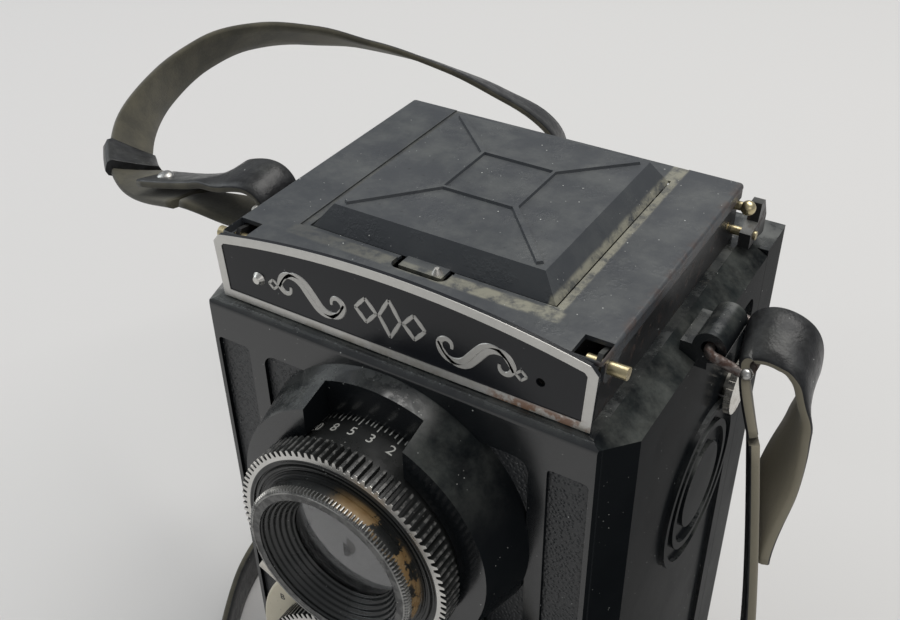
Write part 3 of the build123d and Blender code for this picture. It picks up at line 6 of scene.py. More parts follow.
import bmesh
import bpy
from mathutils import Matrix, Vector
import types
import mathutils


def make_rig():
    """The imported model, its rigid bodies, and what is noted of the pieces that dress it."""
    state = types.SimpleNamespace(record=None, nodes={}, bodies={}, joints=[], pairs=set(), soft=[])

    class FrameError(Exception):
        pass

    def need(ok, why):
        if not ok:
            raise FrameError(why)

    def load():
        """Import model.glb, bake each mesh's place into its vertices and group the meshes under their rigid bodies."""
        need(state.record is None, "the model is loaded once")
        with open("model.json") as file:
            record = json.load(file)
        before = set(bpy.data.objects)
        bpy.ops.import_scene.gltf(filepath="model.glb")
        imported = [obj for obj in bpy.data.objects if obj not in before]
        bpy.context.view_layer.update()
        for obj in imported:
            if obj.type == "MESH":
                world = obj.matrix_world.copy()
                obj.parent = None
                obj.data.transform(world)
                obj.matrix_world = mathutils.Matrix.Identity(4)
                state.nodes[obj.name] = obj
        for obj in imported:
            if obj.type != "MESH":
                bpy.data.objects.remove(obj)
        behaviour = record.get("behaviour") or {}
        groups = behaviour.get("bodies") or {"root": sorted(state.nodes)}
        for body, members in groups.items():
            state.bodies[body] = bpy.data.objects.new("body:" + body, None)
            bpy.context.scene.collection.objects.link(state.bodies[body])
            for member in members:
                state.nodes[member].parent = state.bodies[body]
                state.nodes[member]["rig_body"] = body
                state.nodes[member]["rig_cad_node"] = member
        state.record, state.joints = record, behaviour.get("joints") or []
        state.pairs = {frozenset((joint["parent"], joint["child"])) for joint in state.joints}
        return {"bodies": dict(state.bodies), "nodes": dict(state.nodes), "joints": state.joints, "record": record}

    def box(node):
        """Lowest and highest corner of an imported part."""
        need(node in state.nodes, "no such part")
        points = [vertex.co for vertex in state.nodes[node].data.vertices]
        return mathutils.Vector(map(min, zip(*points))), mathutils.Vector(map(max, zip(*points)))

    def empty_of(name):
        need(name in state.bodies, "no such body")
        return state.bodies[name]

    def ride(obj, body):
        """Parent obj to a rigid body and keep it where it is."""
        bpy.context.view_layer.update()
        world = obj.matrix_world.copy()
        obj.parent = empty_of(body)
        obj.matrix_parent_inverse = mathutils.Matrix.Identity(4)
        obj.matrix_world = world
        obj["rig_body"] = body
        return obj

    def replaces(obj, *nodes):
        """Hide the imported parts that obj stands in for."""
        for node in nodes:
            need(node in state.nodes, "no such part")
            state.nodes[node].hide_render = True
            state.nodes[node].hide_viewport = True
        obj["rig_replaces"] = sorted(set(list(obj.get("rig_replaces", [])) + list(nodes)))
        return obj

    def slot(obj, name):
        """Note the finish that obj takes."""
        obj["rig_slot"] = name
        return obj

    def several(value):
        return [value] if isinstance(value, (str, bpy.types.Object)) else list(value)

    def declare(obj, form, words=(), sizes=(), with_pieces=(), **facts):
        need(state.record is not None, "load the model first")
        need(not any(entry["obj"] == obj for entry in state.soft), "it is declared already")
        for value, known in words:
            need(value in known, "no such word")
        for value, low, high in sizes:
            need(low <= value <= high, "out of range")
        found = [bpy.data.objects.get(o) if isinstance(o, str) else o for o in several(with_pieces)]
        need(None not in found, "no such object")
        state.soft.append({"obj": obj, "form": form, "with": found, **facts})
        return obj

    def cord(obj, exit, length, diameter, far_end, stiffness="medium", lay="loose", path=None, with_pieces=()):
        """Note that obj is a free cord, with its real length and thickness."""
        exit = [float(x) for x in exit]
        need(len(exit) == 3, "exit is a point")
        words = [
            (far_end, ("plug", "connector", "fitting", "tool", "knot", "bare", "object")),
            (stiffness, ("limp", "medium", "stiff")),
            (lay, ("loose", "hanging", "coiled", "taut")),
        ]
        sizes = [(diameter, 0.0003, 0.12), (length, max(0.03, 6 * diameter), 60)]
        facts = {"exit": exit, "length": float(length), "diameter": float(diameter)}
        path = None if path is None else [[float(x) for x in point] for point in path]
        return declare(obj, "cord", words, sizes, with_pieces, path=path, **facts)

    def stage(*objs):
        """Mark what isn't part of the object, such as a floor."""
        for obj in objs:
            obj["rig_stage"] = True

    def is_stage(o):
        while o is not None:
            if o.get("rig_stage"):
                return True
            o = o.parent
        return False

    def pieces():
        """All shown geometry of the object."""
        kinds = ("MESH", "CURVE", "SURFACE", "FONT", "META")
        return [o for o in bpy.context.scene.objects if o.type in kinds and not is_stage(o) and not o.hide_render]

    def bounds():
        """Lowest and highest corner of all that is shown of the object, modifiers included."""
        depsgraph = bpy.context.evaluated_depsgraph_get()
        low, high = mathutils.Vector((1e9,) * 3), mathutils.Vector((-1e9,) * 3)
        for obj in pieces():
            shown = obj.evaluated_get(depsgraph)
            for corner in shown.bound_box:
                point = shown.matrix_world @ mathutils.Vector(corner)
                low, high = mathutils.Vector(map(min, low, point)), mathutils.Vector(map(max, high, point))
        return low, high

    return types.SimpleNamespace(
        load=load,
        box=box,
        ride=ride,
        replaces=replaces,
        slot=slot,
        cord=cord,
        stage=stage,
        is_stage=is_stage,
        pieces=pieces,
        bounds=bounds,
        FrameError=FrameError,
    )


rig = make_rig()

MM = 0.001

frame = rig.load()
CAD_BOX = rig.bounds()
SHOWN = frame["nodes"]
JOINT = {joint["name"]: joint for joint in frame["joints"]}
VIEWING = Vector(JOINT["viewing_focus"]["pos_m"])
TAKING = Vector(JOINT["taking_focus"]["pos_m"])
PLATE_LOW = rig.box("nameplate")[0]
LID_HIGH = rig.box("hood_lid")[1]
FLAP_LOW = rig.box("sports_flap")[0]
FACE_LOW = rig.box("shutter_face")[0]
RING_LOW, RING_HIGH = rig.box("viewing_focus_ring")
WIRES_LOW, WIRES_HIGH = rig.box("wire_rings")
FRONT_Y = PLATE_LOW.y - 1.8 * MM       # moulded front of the body
PANEL_Y = FRONT_Y + 0.8 * MM           # floor of the grained front panels
DRUM_RADIUS = 17.93 * MM               # the focusing drum's printed surface
MARK_RADIUS = 21.6 * MM                # circle of the numbers on the shutter's face
PRINT_HEIGHT = 0.03 * MM               # how far printed numbers stand out
TICK_SIZE = (0.11 * MM, 0.9 * MM, 1.5 * MM)    # half width, half length and half length of long ones
RIM_TEETH = 140                        # teeth of the knurl round a front cell
LENS_MM = 42.88
CAMERA_PLACE = (75.11, -120.18, 216.74)        # millimetres
CAMERA_RIGHT = (0.8522, 0.5231, -0.0130)
CAMERA_UP = (-0.2996, 0.5082, 0.8074)


def mm(*values):
    """A point given in millimetres."""
    return Vector(values) * MM


# ---------------------------------------------------------------- camera, light and floor
def place_camera():
    """The camera that looks down on the front left of the hood."""
    data = bpy.data.cameras.new("camera")
    data.lens = LENS_MM
    data.shift_x = -0.0032
    data.shift_y = 0.0034
    data.clip_start = 0.01
    eye = bpy.data.objects.new("camera", data)
    right = Vector(CAMERA_RIGHT)
    up = Vector(CAMERA_UP)
    back = right.cross(up)
    turn = Matrix((right, up, back)).transposed().to_4x4()
    eye.matrix_world = Matrix.Translation(mm(*CAMERA_PLACE)) @ turn
    bpy.context.scene.collection.objects.link(eye)
    bpy.context.scene.camera = eye


def area_light(name, place, target, size, power, color):
    """A soft rectangular light that faces its target."""
    data = bpy.data.lights.new(name, "AREA")
    data.shape = "RECTANGLE"
    data.size, data.size_y = size
    data.energy = power
    data.color = color
    lamp = bpy.data.objects.new(name, data)
    lamp.location = place
    lamp.rotation_euler = (Vector(target) - Vector(place)).to_track_quat("-Z", "Y").to_euler()
    bpy.context.scene.collection.objects.link(lamp)


def light_studio():
    """Soft light from above, a window on the left and a weak fill from the right."""
    world = bpy.data.worlds.new("studio")
    world.use_nodes = True
    sky = world.node_tree.nodes["Background"]
    sky.inputs["Color"].default_value = (0.93, 0.96, 1.0, 1)
    sky.inputs["Strength"].default_value = 0.33
    bpy.context.scene.world = world
    centre = (0, 0, 0.08)
    area_light("ceiling", (0.15, 0.45, 1.3), centre, (1.1, 0.8), 14, (1.0, 0.98, 0.95))
    area_light("window", (-1.2, -0.2, 0.7), centre, (0.9, 0.9), 5.0, (0.92, 0.97, 1.0))
    area_light("fill", (0.9, -0.9, 0.7), centre, (0.8, 0.6), 1.4, (1.0, 0.96, 0.92))
    bpy.context.scene.view_settings.view_transform = "Standard"


def lay_floor():
    """A plain pale floor, wide enough to be the whole background."""
    mesh = bpy.data.meshes.new("floor")
    half = 4.0
    corners = [(-half, -half, 0), (half, -half, 0), (half, half, 0), (-half, half, 0)]
    mesh.from_pydata(corners, [], [(0, 1, 2, 3)])
    floor = bpy.data.objects.new("floor", mesh)
    bpy.context.scene.collection.objects.link(floor)
    paper = Finish("floor_paper", (0.66, 0.65, 0.64), 0.9)
    tint = paper.noise(400, 2)
    paper.color(paper.mix(tint, (0.65, 0.65, 0.637), (0.67, 0.655, 0.65)))
    floor.data.materials.append(paper.material)
    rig.stage(floor)


# ---------------------------------------------------------------- finishes
class Finish:
    """A Principled material with short calls for the nodes that the finishes share."""

    def __init__(self, name, color, roughness, metallic=0.0, **sockets):
        self.material = bpy.data.materials.new(name)
        self.material.use_nodes = True
        self.tree = self.material.node_tree
        self.shader = self.tree.nodes["Principled BSDF"]
        self.shader.inputs["Base Color"].default_value = (*color, 1)
        self.shader.inputs["Roughness"].default_value = roughness
        self.shader.inputs["Metallic"].default_value = metallic
        for socket, value in sockets.items():
            self.shader.inputs[socket.replace("_", " ")].default_value = value
        coordinates = self.tree.nodes.new("ShaderNodeTexCoord")
        self.place = coordinates.outputs["Object"]
        self.facing = coordinates.outputs["Normal"]

    def node(self, kind, inputs=(), **settings):
        """A new node with its settings, and its inputs linked or set by index or name."""
        made = self.tree.nodes.new(kind)
        for setting, value in settings.items():
            setattr(made, setting, value)
        for key, value in dict(inputs).items():
            if isinstance(value, bpy.types.NodeSocket):
                self.tree.links.new(value, made.inputs[key])
            elif isinstance(value, tuple) and len(value) == 3 and made.inputs[key].type == "RGBA":
                made.inputs[key].default_value = (*value, 1)
            else:
                made.inputs[key].default_value = value
        return made

    def noise(self, size, detail=4, roughness=0.55):
        """Cloudy noise from 0 to 1 whose features are about size millimetres across."""
        cloud = self.node(
            "ShaderNodeTexNoise",
            {"Vector": self.place, "Scale": 1000 / size, "Detail": detail, "Roughness": roughness},
        )
        return cloud.outputs["Fac"]

    def cells(self, size):
        """Distance to the nearest of scattered points about size millimetres apart."""
        pattern = self.node("ShaderNodeTexVoronoi", {"Vector": self.place, "Scale": 1000 / size})
        return pattern.outputs["Distance"]

    def math(self, operation, first, second=0.0):
        """One step of arithmetic on sockets or numbers."""
        return self.node("ShaderNodeMath", {0: first, 1: second}, operation=operation).outputs[0]

    def fade(self, value, low, high, start=0.0, end=1.0):
        """start below low, end above high and smooth between them."""
        step = self.node(
            "ShaderNodeMapRange",
            {"Value": value, "From Min": low, "From Max": high, "To Min": start, "To Max": end},
            interpolation_type="SMOOTHSTEP",
        )
        return step.outputs[0]

    def mix(self, factor, first, second):
        """A colour between first and second."""
        blend = self.node("ShaderNodeMix", {0: factor, 6: first, 7: second}, data_type="RGBA")
        return blend.outputs[2]

    def axis(self, name, centre=0.0):
        """The distance in millimetres along one axis of the row frame from a centre in metres."""
        split = self.node("ShaderNodeSeparateXYZ", {0: self.place})
        away = self.math("SUBTRACT", split.outputs[name], centre)
        return self.math("MULTIPLY", away, 1000.0)

    def band(self, value, low, high, soft=0.05):
        """1 between low and high, with soft edges."""
        rise = self.fade(value, low - soft, low + soft)
        fall = self.fade(value, high - soft, high + soft, 1.0, 0.0)
        return self.math("MULTIPLY", rise, fall)

    def radius(self, centre):
        """The distance in millimetres from a lens axis."""
        across = self.axis("X", centre.x)
        height = self.axis("Z", centre.z)
        wide = self.math("MULTIPLY", across, across)
        squares = self.math("ADD", wide, self.math("MULTIPLY", height, height))
        return self.math("SQRT", squares)

    def upward(self, low, high):
        """Where the surface faces up."""
        split = self.node("ShaderNodeSeparateXYZ", {0: self.facing})
        return self.fade(split.outputs["Z"], low, high)

    def sideways(self):
        """How far the surface faces the right side, from -1 to 1."""
        split = self.node("ShaderNodeSeparateXYZ", {0: self.facing})
        return split.outputs["X"]

    def both(self, *masks):
        """The product of some masks."""
        total = masks[0]
        for mask in masks[1:]:
            total = self.math("MULTIPLY", total, mask)
        return total

    def either(self, first, second):
        """The larger of two masks."""
        return self.math("MAXIMUM", first, second)

    def specks(self, spacing, size, threshold):
        """Small scattered dots, only where a slow noise is above the threshold."""
        dots = self.fade(self.cells(spacing), size, size * 1.6, 1.0, 0.0)
        groups = self.fade(self.noise(spacing * 5, 2), threshold, threshold + 0.12)
        return self.math("MULTIPLY", dots, groups)

    def color(self, value):
        self.tree.links.new(value, self.shader.inputs["Base Color"])

    def rough(self, value):
        self.tree.links.new(value, self.shader.inputs["Roughness"])

    def metal(self, value):
        self.tree.links.new(value, self.shader.inputs["Metallic"])

    def gloss(self, value):
        """How strongly the surface mirrors, as an index of refraction."""
        self.tree.links.new(value, self.shader.inputs["IOR"])

    def bump(self, height, distance, strength=1.0):
        """A relief of the given distance in millimetres, added to any that is there already."""
        relief = {"Height": height, "Distance": distance * MM, "Strength": strength}
        earlier = self.shader.inputs["Normal"].links
        if earlier:
            relief["Normal"] = earlier[0].from_socket
        made = self.node("ShaderNodeBump", relief)
        self.tree.links.new(made.outputs[0], self.shader.inputs["Normal"])


def dusted(finish, color, amount, dust=(0.30, 0.31, 0.28)):
    """A colour with dust lying on what faces up, and fine white specks everywhere."""
    film = finish.fade(finish.noise(7, 6, 0.65), 0.35, 0.75)
    settled = finish.both(finish.upward(0.25, 0.95), film)
    thin = finish.math("MULTIPLY", settled, amount)
    coated = finish.mix(thin, color, dust)
    dots = finish.either(finish.specks(1.3, 0.045, 0.5), finish.specks(2.6, 0.035, 0.42))
    return finish.mix(finish.math("MULTIPLY", dots, 0.75), coated, (0.62, 0.63, 0.60))


def bakelite():
    """Polished black moulding, dusty on its shoulders and grained in its front panels, with dimmer reflections on its
    right side as painted shade.
    """
    finish = Finish("bakelite", (0.008, 0.009, 0.011), 0.22, Specular_IOR_Level=0.5)
    smudge = finish.noise(14, 5, 0.6)
    shade = finish.mix(smudge, (0.006, 0.0068, 0.008), (0.011, 0.013, 0.0145))
    panel = finish.band(finish.axis("Y"), PANEL_Y / MM - 0.12, PANEL_Y / MM + 0.12, 0.05)
    grain = finish.fade(finish.cells(0.62), 0.05, 0.62)
    shade = finish.mix(panel, shade, (0.014, 0.016, 0.018))
    haze = finish.both(finish.upward(0.4, 0.9), finish.fade(finish.noise(9, 6, 0.7), 0.36, 0.68))
    green = finish.mix(finish.math("MULTIPLY", haze, 0.10), shade, (0.17, 0.20, 0.19))
    finish.color(dusted(finish, green, 0.22))
    wear = finish.either(finish.fade(smudge, 0.3, 0.75, 0.14, 0.25), finish.math("MULTIPLY", haze, 0.6))
    finish.rough(finish.either(wear, finish.math("MULTIPLY", panel, 0.5)))
    # Painted shade: faces turned to the right get a lower index of refraction, so they mirror less and that side looks
    # darker.
    finish.gloss(finish.fade(finish.sideways(), 0.2, 0.5, 1.7, 1.03))
    finish.bump(finish.math("MULTIPLY", grain, panel), 0.10)
    finish.bump(finish.noise(5, 3), 0.03, 0.35)
    return finish.material


def hood_paint():
    """Semi-matt black paint, with pale dust in the pressed grooves and brown wear at the right side."""
    finish = Finish("hood_paint", (0.05, 0.055, 0.062), 0.4)
    cloud = finish.noise(18, 5)
    paint = finish.mix(cloud, (0.034, 0.038, 0.043), (0.048, 0.053, 0.060))
    x, y, z = finish.axis("X"), finish.axis("Y"), finish.axis("Z")
    across = finish.math("ABSOLUTE", x)
    lid_top = LID_HIGH.z / MM
    groove = finish.both(
        finish.band(across, 20.6, 23.5, 0.25),
        finish.band(y, FLAP_LOW.y / MM - 1.0, LID_HIGH.y / MM, 0.4),
        finish.fade(z, lid_top + 0.25, lid_top + 0.9, 1.0, 0.0),
    )
    front = finish.both(
        finish.band(y, FLAP_LOW.y / MM - 1.4, FLAP_LOW.y / MM + 1.2, 0.3),
        finish.band(across, 0.0, 24.0, 0.5),
        finish.fade(z, lid_top + 0.25, lid_top + 0.8, 1.0, 0.0),
    )
    right_more = finish.fade(x, -22, 18, 0.15, 1.0)
    patchy = finish.fade(finish.noise(2.6, 6, 0.7), 0.32, 0.6)
    filled = finish.both(finish.either(groove, front), right_more, patchy)
    paint = finish.mix(finish.math("MULTIPLY", filled, 0.85), paint, (0.27, 0.26, 0.20))
    rim = finish.both(finish.fade(x, 31.6, 33.0), finish.fade(finish.noise(4, 5, 0.7), 0.42, 0.6))
    paint = finish.mix(finish.math("MULTIPLY", rim, 0.7), paint, (0.055, 0.033, 0.026))
    raised = finish.fade(z, lid_top + 3.0, lid_top + 3.3)
    chips = finish.both(finish.fade(finish.noise(1.1, 3, 0.6), 0.66, 0.70), raised)
    paint = finish.mix(finish.math("MULTIPLY", chips, 0.5), paint, (0.012, 0.012, 0.013))
    finish.color(dusted(finish, paint, 0.16))
    finish.rough(finish.fade(cloud, 0.3, 0.7, 0.36, 0.5))
    crinkle = finish.fade(finish.noise(0.7, 4, 0.6), 0.3, 0.8)
    wrinkled = finish.math("MULTIPLY", crinkle, finish.fade(finish.noise(6, 3), 0.5, 0.65, 0.12, 1.0))
    finish.bump(wrinkled, 0.05)
    finish.bump(finish.noise(22, 3), 0.25, 0.5)
    return finish.material


def hood_inside():
    """Thin black lacquer on sheet steel, rubbed brown at places."""
    finish = Finish("hood_inside", (0.014, 0.014, 0.015), 0.42)
    patch = finish.fade(finish.noise(3.2, 6, 0.7), 0.52, 0.66)
    low = finish.math("MULTIPLY", patch, 0.65)
    rusty = finish.mix(low, (0.014, 0.014, 0.015), (0.062, 0.040, 0.032))
    finish.color(dusted(finish, rusty, 0.25))
    finish.rough(finish.fade(patch, 0, 1, 0.38, 0.7))
    finish.bump(finish.noise(1.4, 4), 0.05, 0.6)
    return finish.material


def nameplate_finish():
    """Gloss black enamel in a satin aluminium border, stained brown at the lower right."""
    finish = Finish("nameplate", (0.012, 0.013, 0.016), 0.16, Specular_IOR_Level=0.35)
    depth = finish.axis("Y", PLATE_LOW.y)
    field = finish.fade(depth, 0.08, 0.13)
    right = finish.band(finish.axis("X"), 17.0, 32.6, 1.6)
    low = finish.fade(finish.axis("Z", PLATE_LOW.z), 0.9, 2.2, 1.0, 0.0)
    brown = finish.both(right, low, finish.fade(finish.noise(2.2, 6, 0.7), 0.40, 0.56))
    grime = finish.fade(finish.noise(5, 5, 0.7), 0.42, 0.62)
    lower_edge = finish.both(finish.fade(finish.axis("Z", PLATE_LOW.z), 0.2, 1.8, 1.0, 0.0), grime)
    bright = finish.mix(finish.noise(1.6, 5, 0.7), (0.56, 0.55, 0.52), (0.70, 0.69, 0.66))
    bright = finish.mix(finish.math("MULTIPLY", lower_edge, 0.45), bright, (0.36, 0.32, 0.24))
    bright = finish.mix(finish.math("MULTIPLY", brown, 0.85), bright, (0.20, 0.085, 0.035))
    enamel = finish.mix(finish.noise(12, 4), (0.006, 0.0066, 0.0085), (0.012, 0.0135, 0.017))
    dots = finish.specks(1.5, 0.05, 0.5)
    enamel = finish.mix(finish.math("MULTIPLY", dots, 0.5), enamel, (0.5, 0.5, 0.48))
    finish.color(finish.mix(field, bright, enamel))
    metal = finish.math("SUBTRACT", 1.0, finish.either(field, finish.math("MULTIPLY", brown, 0.8)))
    finish.metal(finish.math("MULTIPLY", metal, 0.75))
    finish.rough(finish.fade(field, 0, 1, 0.38, 0.2))
    finish.bump(finish.noise(0.5, 2), 0.015, 0.5)
    return finish.material


def bright_metal(name, color, roughness, tarnish=(0.22, 0.17, 0.10), amount=0.35):
    """Bare metal with fine grain, cloudy tarnish and small pits."""
    finish = Finish(name, color, roughness, 1.0)
    cloud = finish.fade(finish.noise(3.5, 6, 0.7), 0.42, 0.72)
    dull = finish.math("MULTIPLY", cloud, amount)
    pits = finish.specks(0.9, 0.09, 0.5)
    shade = finish.mix(dull, color, tarnish)
    pitted = tuple(channel * 0.25 for channel in color)
    finish.color(finish.mix(finish.math("MULTIPLY", pits, 0.5), shade, pitted))
    finish.rough(finish.fade(cloud, 0, 1, roughness, min(0.8, roughness + 0.25)))
    finish.metal(finish.fade(dull, 0, 1, 1.0, 0.5))
    finish.bump(finish.noise(0.5, 3, 0.6), 0.02, 0.6)
    return finish.material


def lacquered_ring(name, axis, patched):
    """Black lacquered brass ring: bare silver tooth fronts, turned grooves and, on one, a worn patch."""
    finish = Finish(name, (0.012, 0.013, 0.013), 0.3)
    r = finish.radius(axis)
    y = finish.axis("Y")
    z = finish.axis("Z", axis.z)
    x = finish.axis("X", axis.x)
    shade = finish.mix(finish.noise(4, 5), (0.010, 0.011, 0.011), (0.026, 0.027, 0.026))
    silver = finish.both(finish.fade(r, 17.75, 17.85), finish.fade(y, -34.47, -34.44, 1.0, 0.0))
    rubbed = finish.both(finish.fade(r, 19.18, 19.4), finish.fade(finish.noise(0.9, 3), 0.45, 0.6))
    silver = finish.either(silver, finish.math("MULTIPLY", rubbed, 0.15))
    lip = finish.both(finish.fade(y, -38.02, -37.98, 1.0, 0.0), finish.fade(finish.noise(1.3, 4), 0.4, 0.62))
    silver = finish.either(silver, finish.math("MULTIPLY", lip, 0.12))
    if patched:
        side = finish.both(finish.band(r, 14.3, 15.2, 0.1), finish.band(y, -37.6, -34.6, 0.25))
        place = finish.both(finish.fade(x, 0.0, 3.0), finish.band(z, -6.0, 14.6, 1.0))
        torn = finish.fade(finish.noise(3.4, 5, 0.65), 0.46, 0.50)
        patch = finish.both(side, place, torn)
        tan = finish.mix(finish.noise(1.2, 4), (0.22, 0.115, 0.035), (0.42, 0.30, 0.15))
        shade = finish.mix(finish.math("MULTIPLY", patch, 0.9), shade, tan)
    shade = finish.mix(finish.math("MULTIPLY", finish.specks(1.2, 0.06, 0.48), 0.6), shade, (0.5, 0.5, 0.48))
    finish.color(finish.mix(silver, shade, (0.66, 0.65, 0.62)))
    finish.metal(finish.math("MULTIPLY", silver, 0.85))
    finish.rough(finish.fade(finish.noise(5, 4), 0.3, 0.7, 0.22, 0.42))
    rings = finish.math("SINE", finish.math("MULTIPLY", r, 9.0))
    flat = finish.both(finish.band(r, 14.9, 17.7, 0.1), finish.fade(y, -34.9, -34.2))
    finish.bump(finish.math("MULTIPLY", rings, flat), 0.06, 0.8)
    steps = finish.math("SINE", finish.math("MULTIPLY", y, 9.0))
    mouth = finish.fade(r, 12.9, 13.0, 1.0, 0.0)
    finish.bump(finish.math("MULTIPLY", steps, mouth), 0.08, 0.9)
    return finish.material


def lacquer(name, color=(0.012, 0.012, 0.013), roughness=0.32, edge=(0.28, 0.25, 0.2)):
    """Black lacquered metal with small bright chips."""
    finish = Finish(name, color, roughness)
    chips = finish.fade(finish.noise(1.4, 5, 0.7), 0.68, 0.72)
    shade = finish.mix(finish.noise(8, 4), color, tuple(channel * 1.8 for channel in color))
    finish.color(dusted(finish, finish.mix(finish.math("MULTIPLY", chips, 0.6), shade, edge), 0.2))
    finish.rough(finish.fade(finish.noise(5, 4), 0.3, 0.7, roughness - 0.06, roughness + 0.12))
    finish.bump(finish.noise(1.2, 3), 0.03, 0.5)
    return finish.material


def shutter_cream():
    """Yellowed satin aluminium of the shutter's face."""
    finish = Finish("shutter_cream", (0.60, 0.55, 0.42), 0.45, 0.35)
    cloud = finish.noise(4, 6, 0.65)
    cream = finish.mix(cloud, (0.52, 0.47, 0.35), (0.68, 0.64, 0.52))
    stain = finish.fade(finish.noise(9, 5, 0.7), 0.55, 0.75)
    cream = finish.mix(finish.math("MULTIPLY", stain, 0.4), cream, (0.30, 0.24, 0.14))
    spots = finish.math("MULTIPLY", finish.specks(1.3, 0.08, 0.5), 0.6)
    finish.color(finish.mix(spots, cream, (0.12, 0.09, 0.05)))
    finish.rough(finish.fade(cloud, 0.3, 0.7, 0.38, 0.55))
    spun = finish.math("SINE", finish.math("MULTIPLY", finish.radius(TAKING), 22.0))
    finish.bump(spun, 0.012, 0.5)
    return finish.material


def clear_glass(name, tint, roughness=0.03):
    """A coated lens with a little dust on it."""
    finish = Finish(name, tint, roughness, Transmission_Weight=1.0, IOR=1.6, Coat_Weight=0.4)
    film = finish.fade(finish.noise(3, 6, 0.7), 0.4, 0.8, roughness, roughness + 0.16)
    finish.rough(film)
    return finish.material


def mirror_finish():
    """Silvered glass with a faint haze."""
    finish = Finish("mirror", (0.86, 0.87, 0.88), 0.04, 1.0)
    finish.rough(finish.fade(finish.noise(10, 5, 0.7), 0.45, 0.8, 0.03, 0.2))
    return finish.material


def red_glass():
    """The deep red window over the frame numbers."""
    finish = Finish("red_window", (0.30, 0.008, 0.006), 0.12, Transmission_Weight=0.5, IOR=1.5)
    finish.rough(finish.fade(finish.noise(2, 4), 0.4, 0.8, 0.08, 0.28))
    return finish.material


def strap_grain():
    """The black outer side of the strap."""
    finish = Finish("strap_grain", (0.012, 0.0125, 0.014), 0.36, Specular_IOR_Level=0.3)
    crease = finish.fade(finish.noise(2.0, 5, 0.6), 0.3, 0.75)
    shade = finish.mix(crease, (0.010, 0.010, 0.011), (0.026, 0.027, 0.029))
    finish.color(dusted(finish, shade, 0.12))
    finish.rough(finish.fade(crease, 0, 1, 0.30, 0.46))
    finish.bump(finish.cells(0.45), 0.03, 0.7)
    finish.bump(crease, 0.08, 0.4)
    return finish.material


def strap_suede():
    """The olive brown flesh side of the strap, darker where it is greasy, and lighter towards the right as painted
    light, with the loop and arc at the left darker as painted shade.
    """
    finish = Finish("strap_suede", (0.11, 0.098, 0.062), 0.9, Sheen_Weight=0.2)
    nap = finish.noise(0.5, 4, 0.7)
    worn = finish.fade(finish.noise(7, 5, 0.6), 0.35, 0.7)
    shade = finish.mix(worn, (0.022, 0.021, 0.015), (0.062, 0.057, 0.038))
    # Painted light and shade: the suede turns paler from x 10 mm to x 30 mm, so the parts at the left stay dark as if
    # in shade.
    pale = finish.fade(finish.axis("X"), 10, 30, 0.0, 0.75)
    shade = finish.mix(pale, shade, (0.26, 0.235, 0.175))
    finish.color(finish.mix(finish.math("MULTIPLY", nap, 0.25), shade, (0.20, 0.18, 0.12)))
    finish.bump(nap, 0.09, 0.8)
    return finish.material


def rusty_wire():
    """Brown rusted steel wire."""
    finish = Finish("rusty_wire", (0.10, 0.065, 0.05), 0.55, 0.5)
    spots = finish.fade(finish.noise(1.1, 6, 0.75), 0.38, 0.62)
    finish.color(finish.mix(spots, (0.20, 0.18, 0.17), (0.068, 0.036, 0.026)))
    finish.metal(finish.fade(spots, 0, 1, 0.9, 0.2))
    finish.rough(finish.fade(spots, 0, 1, 0.35, 0.8))
    finish.bump(spots, 0.04, 0.8)
    return finish.material


def print_finish(name, color, metallic):
    """Paint or polish of small marks, slightly rubbed."""
    finish = Finish(name, color, 0.4, metallic)
    rub = finish.noise(0.8, 4, 0.7)
    finish.color(finish.mix(rub, tuple(channel * 0.72 for channel in color), color))
    finish.rough(finish.fade(rub, 0.3, 0.7, 0.34, 0.55))
    return finish.material


FINISHES = {}


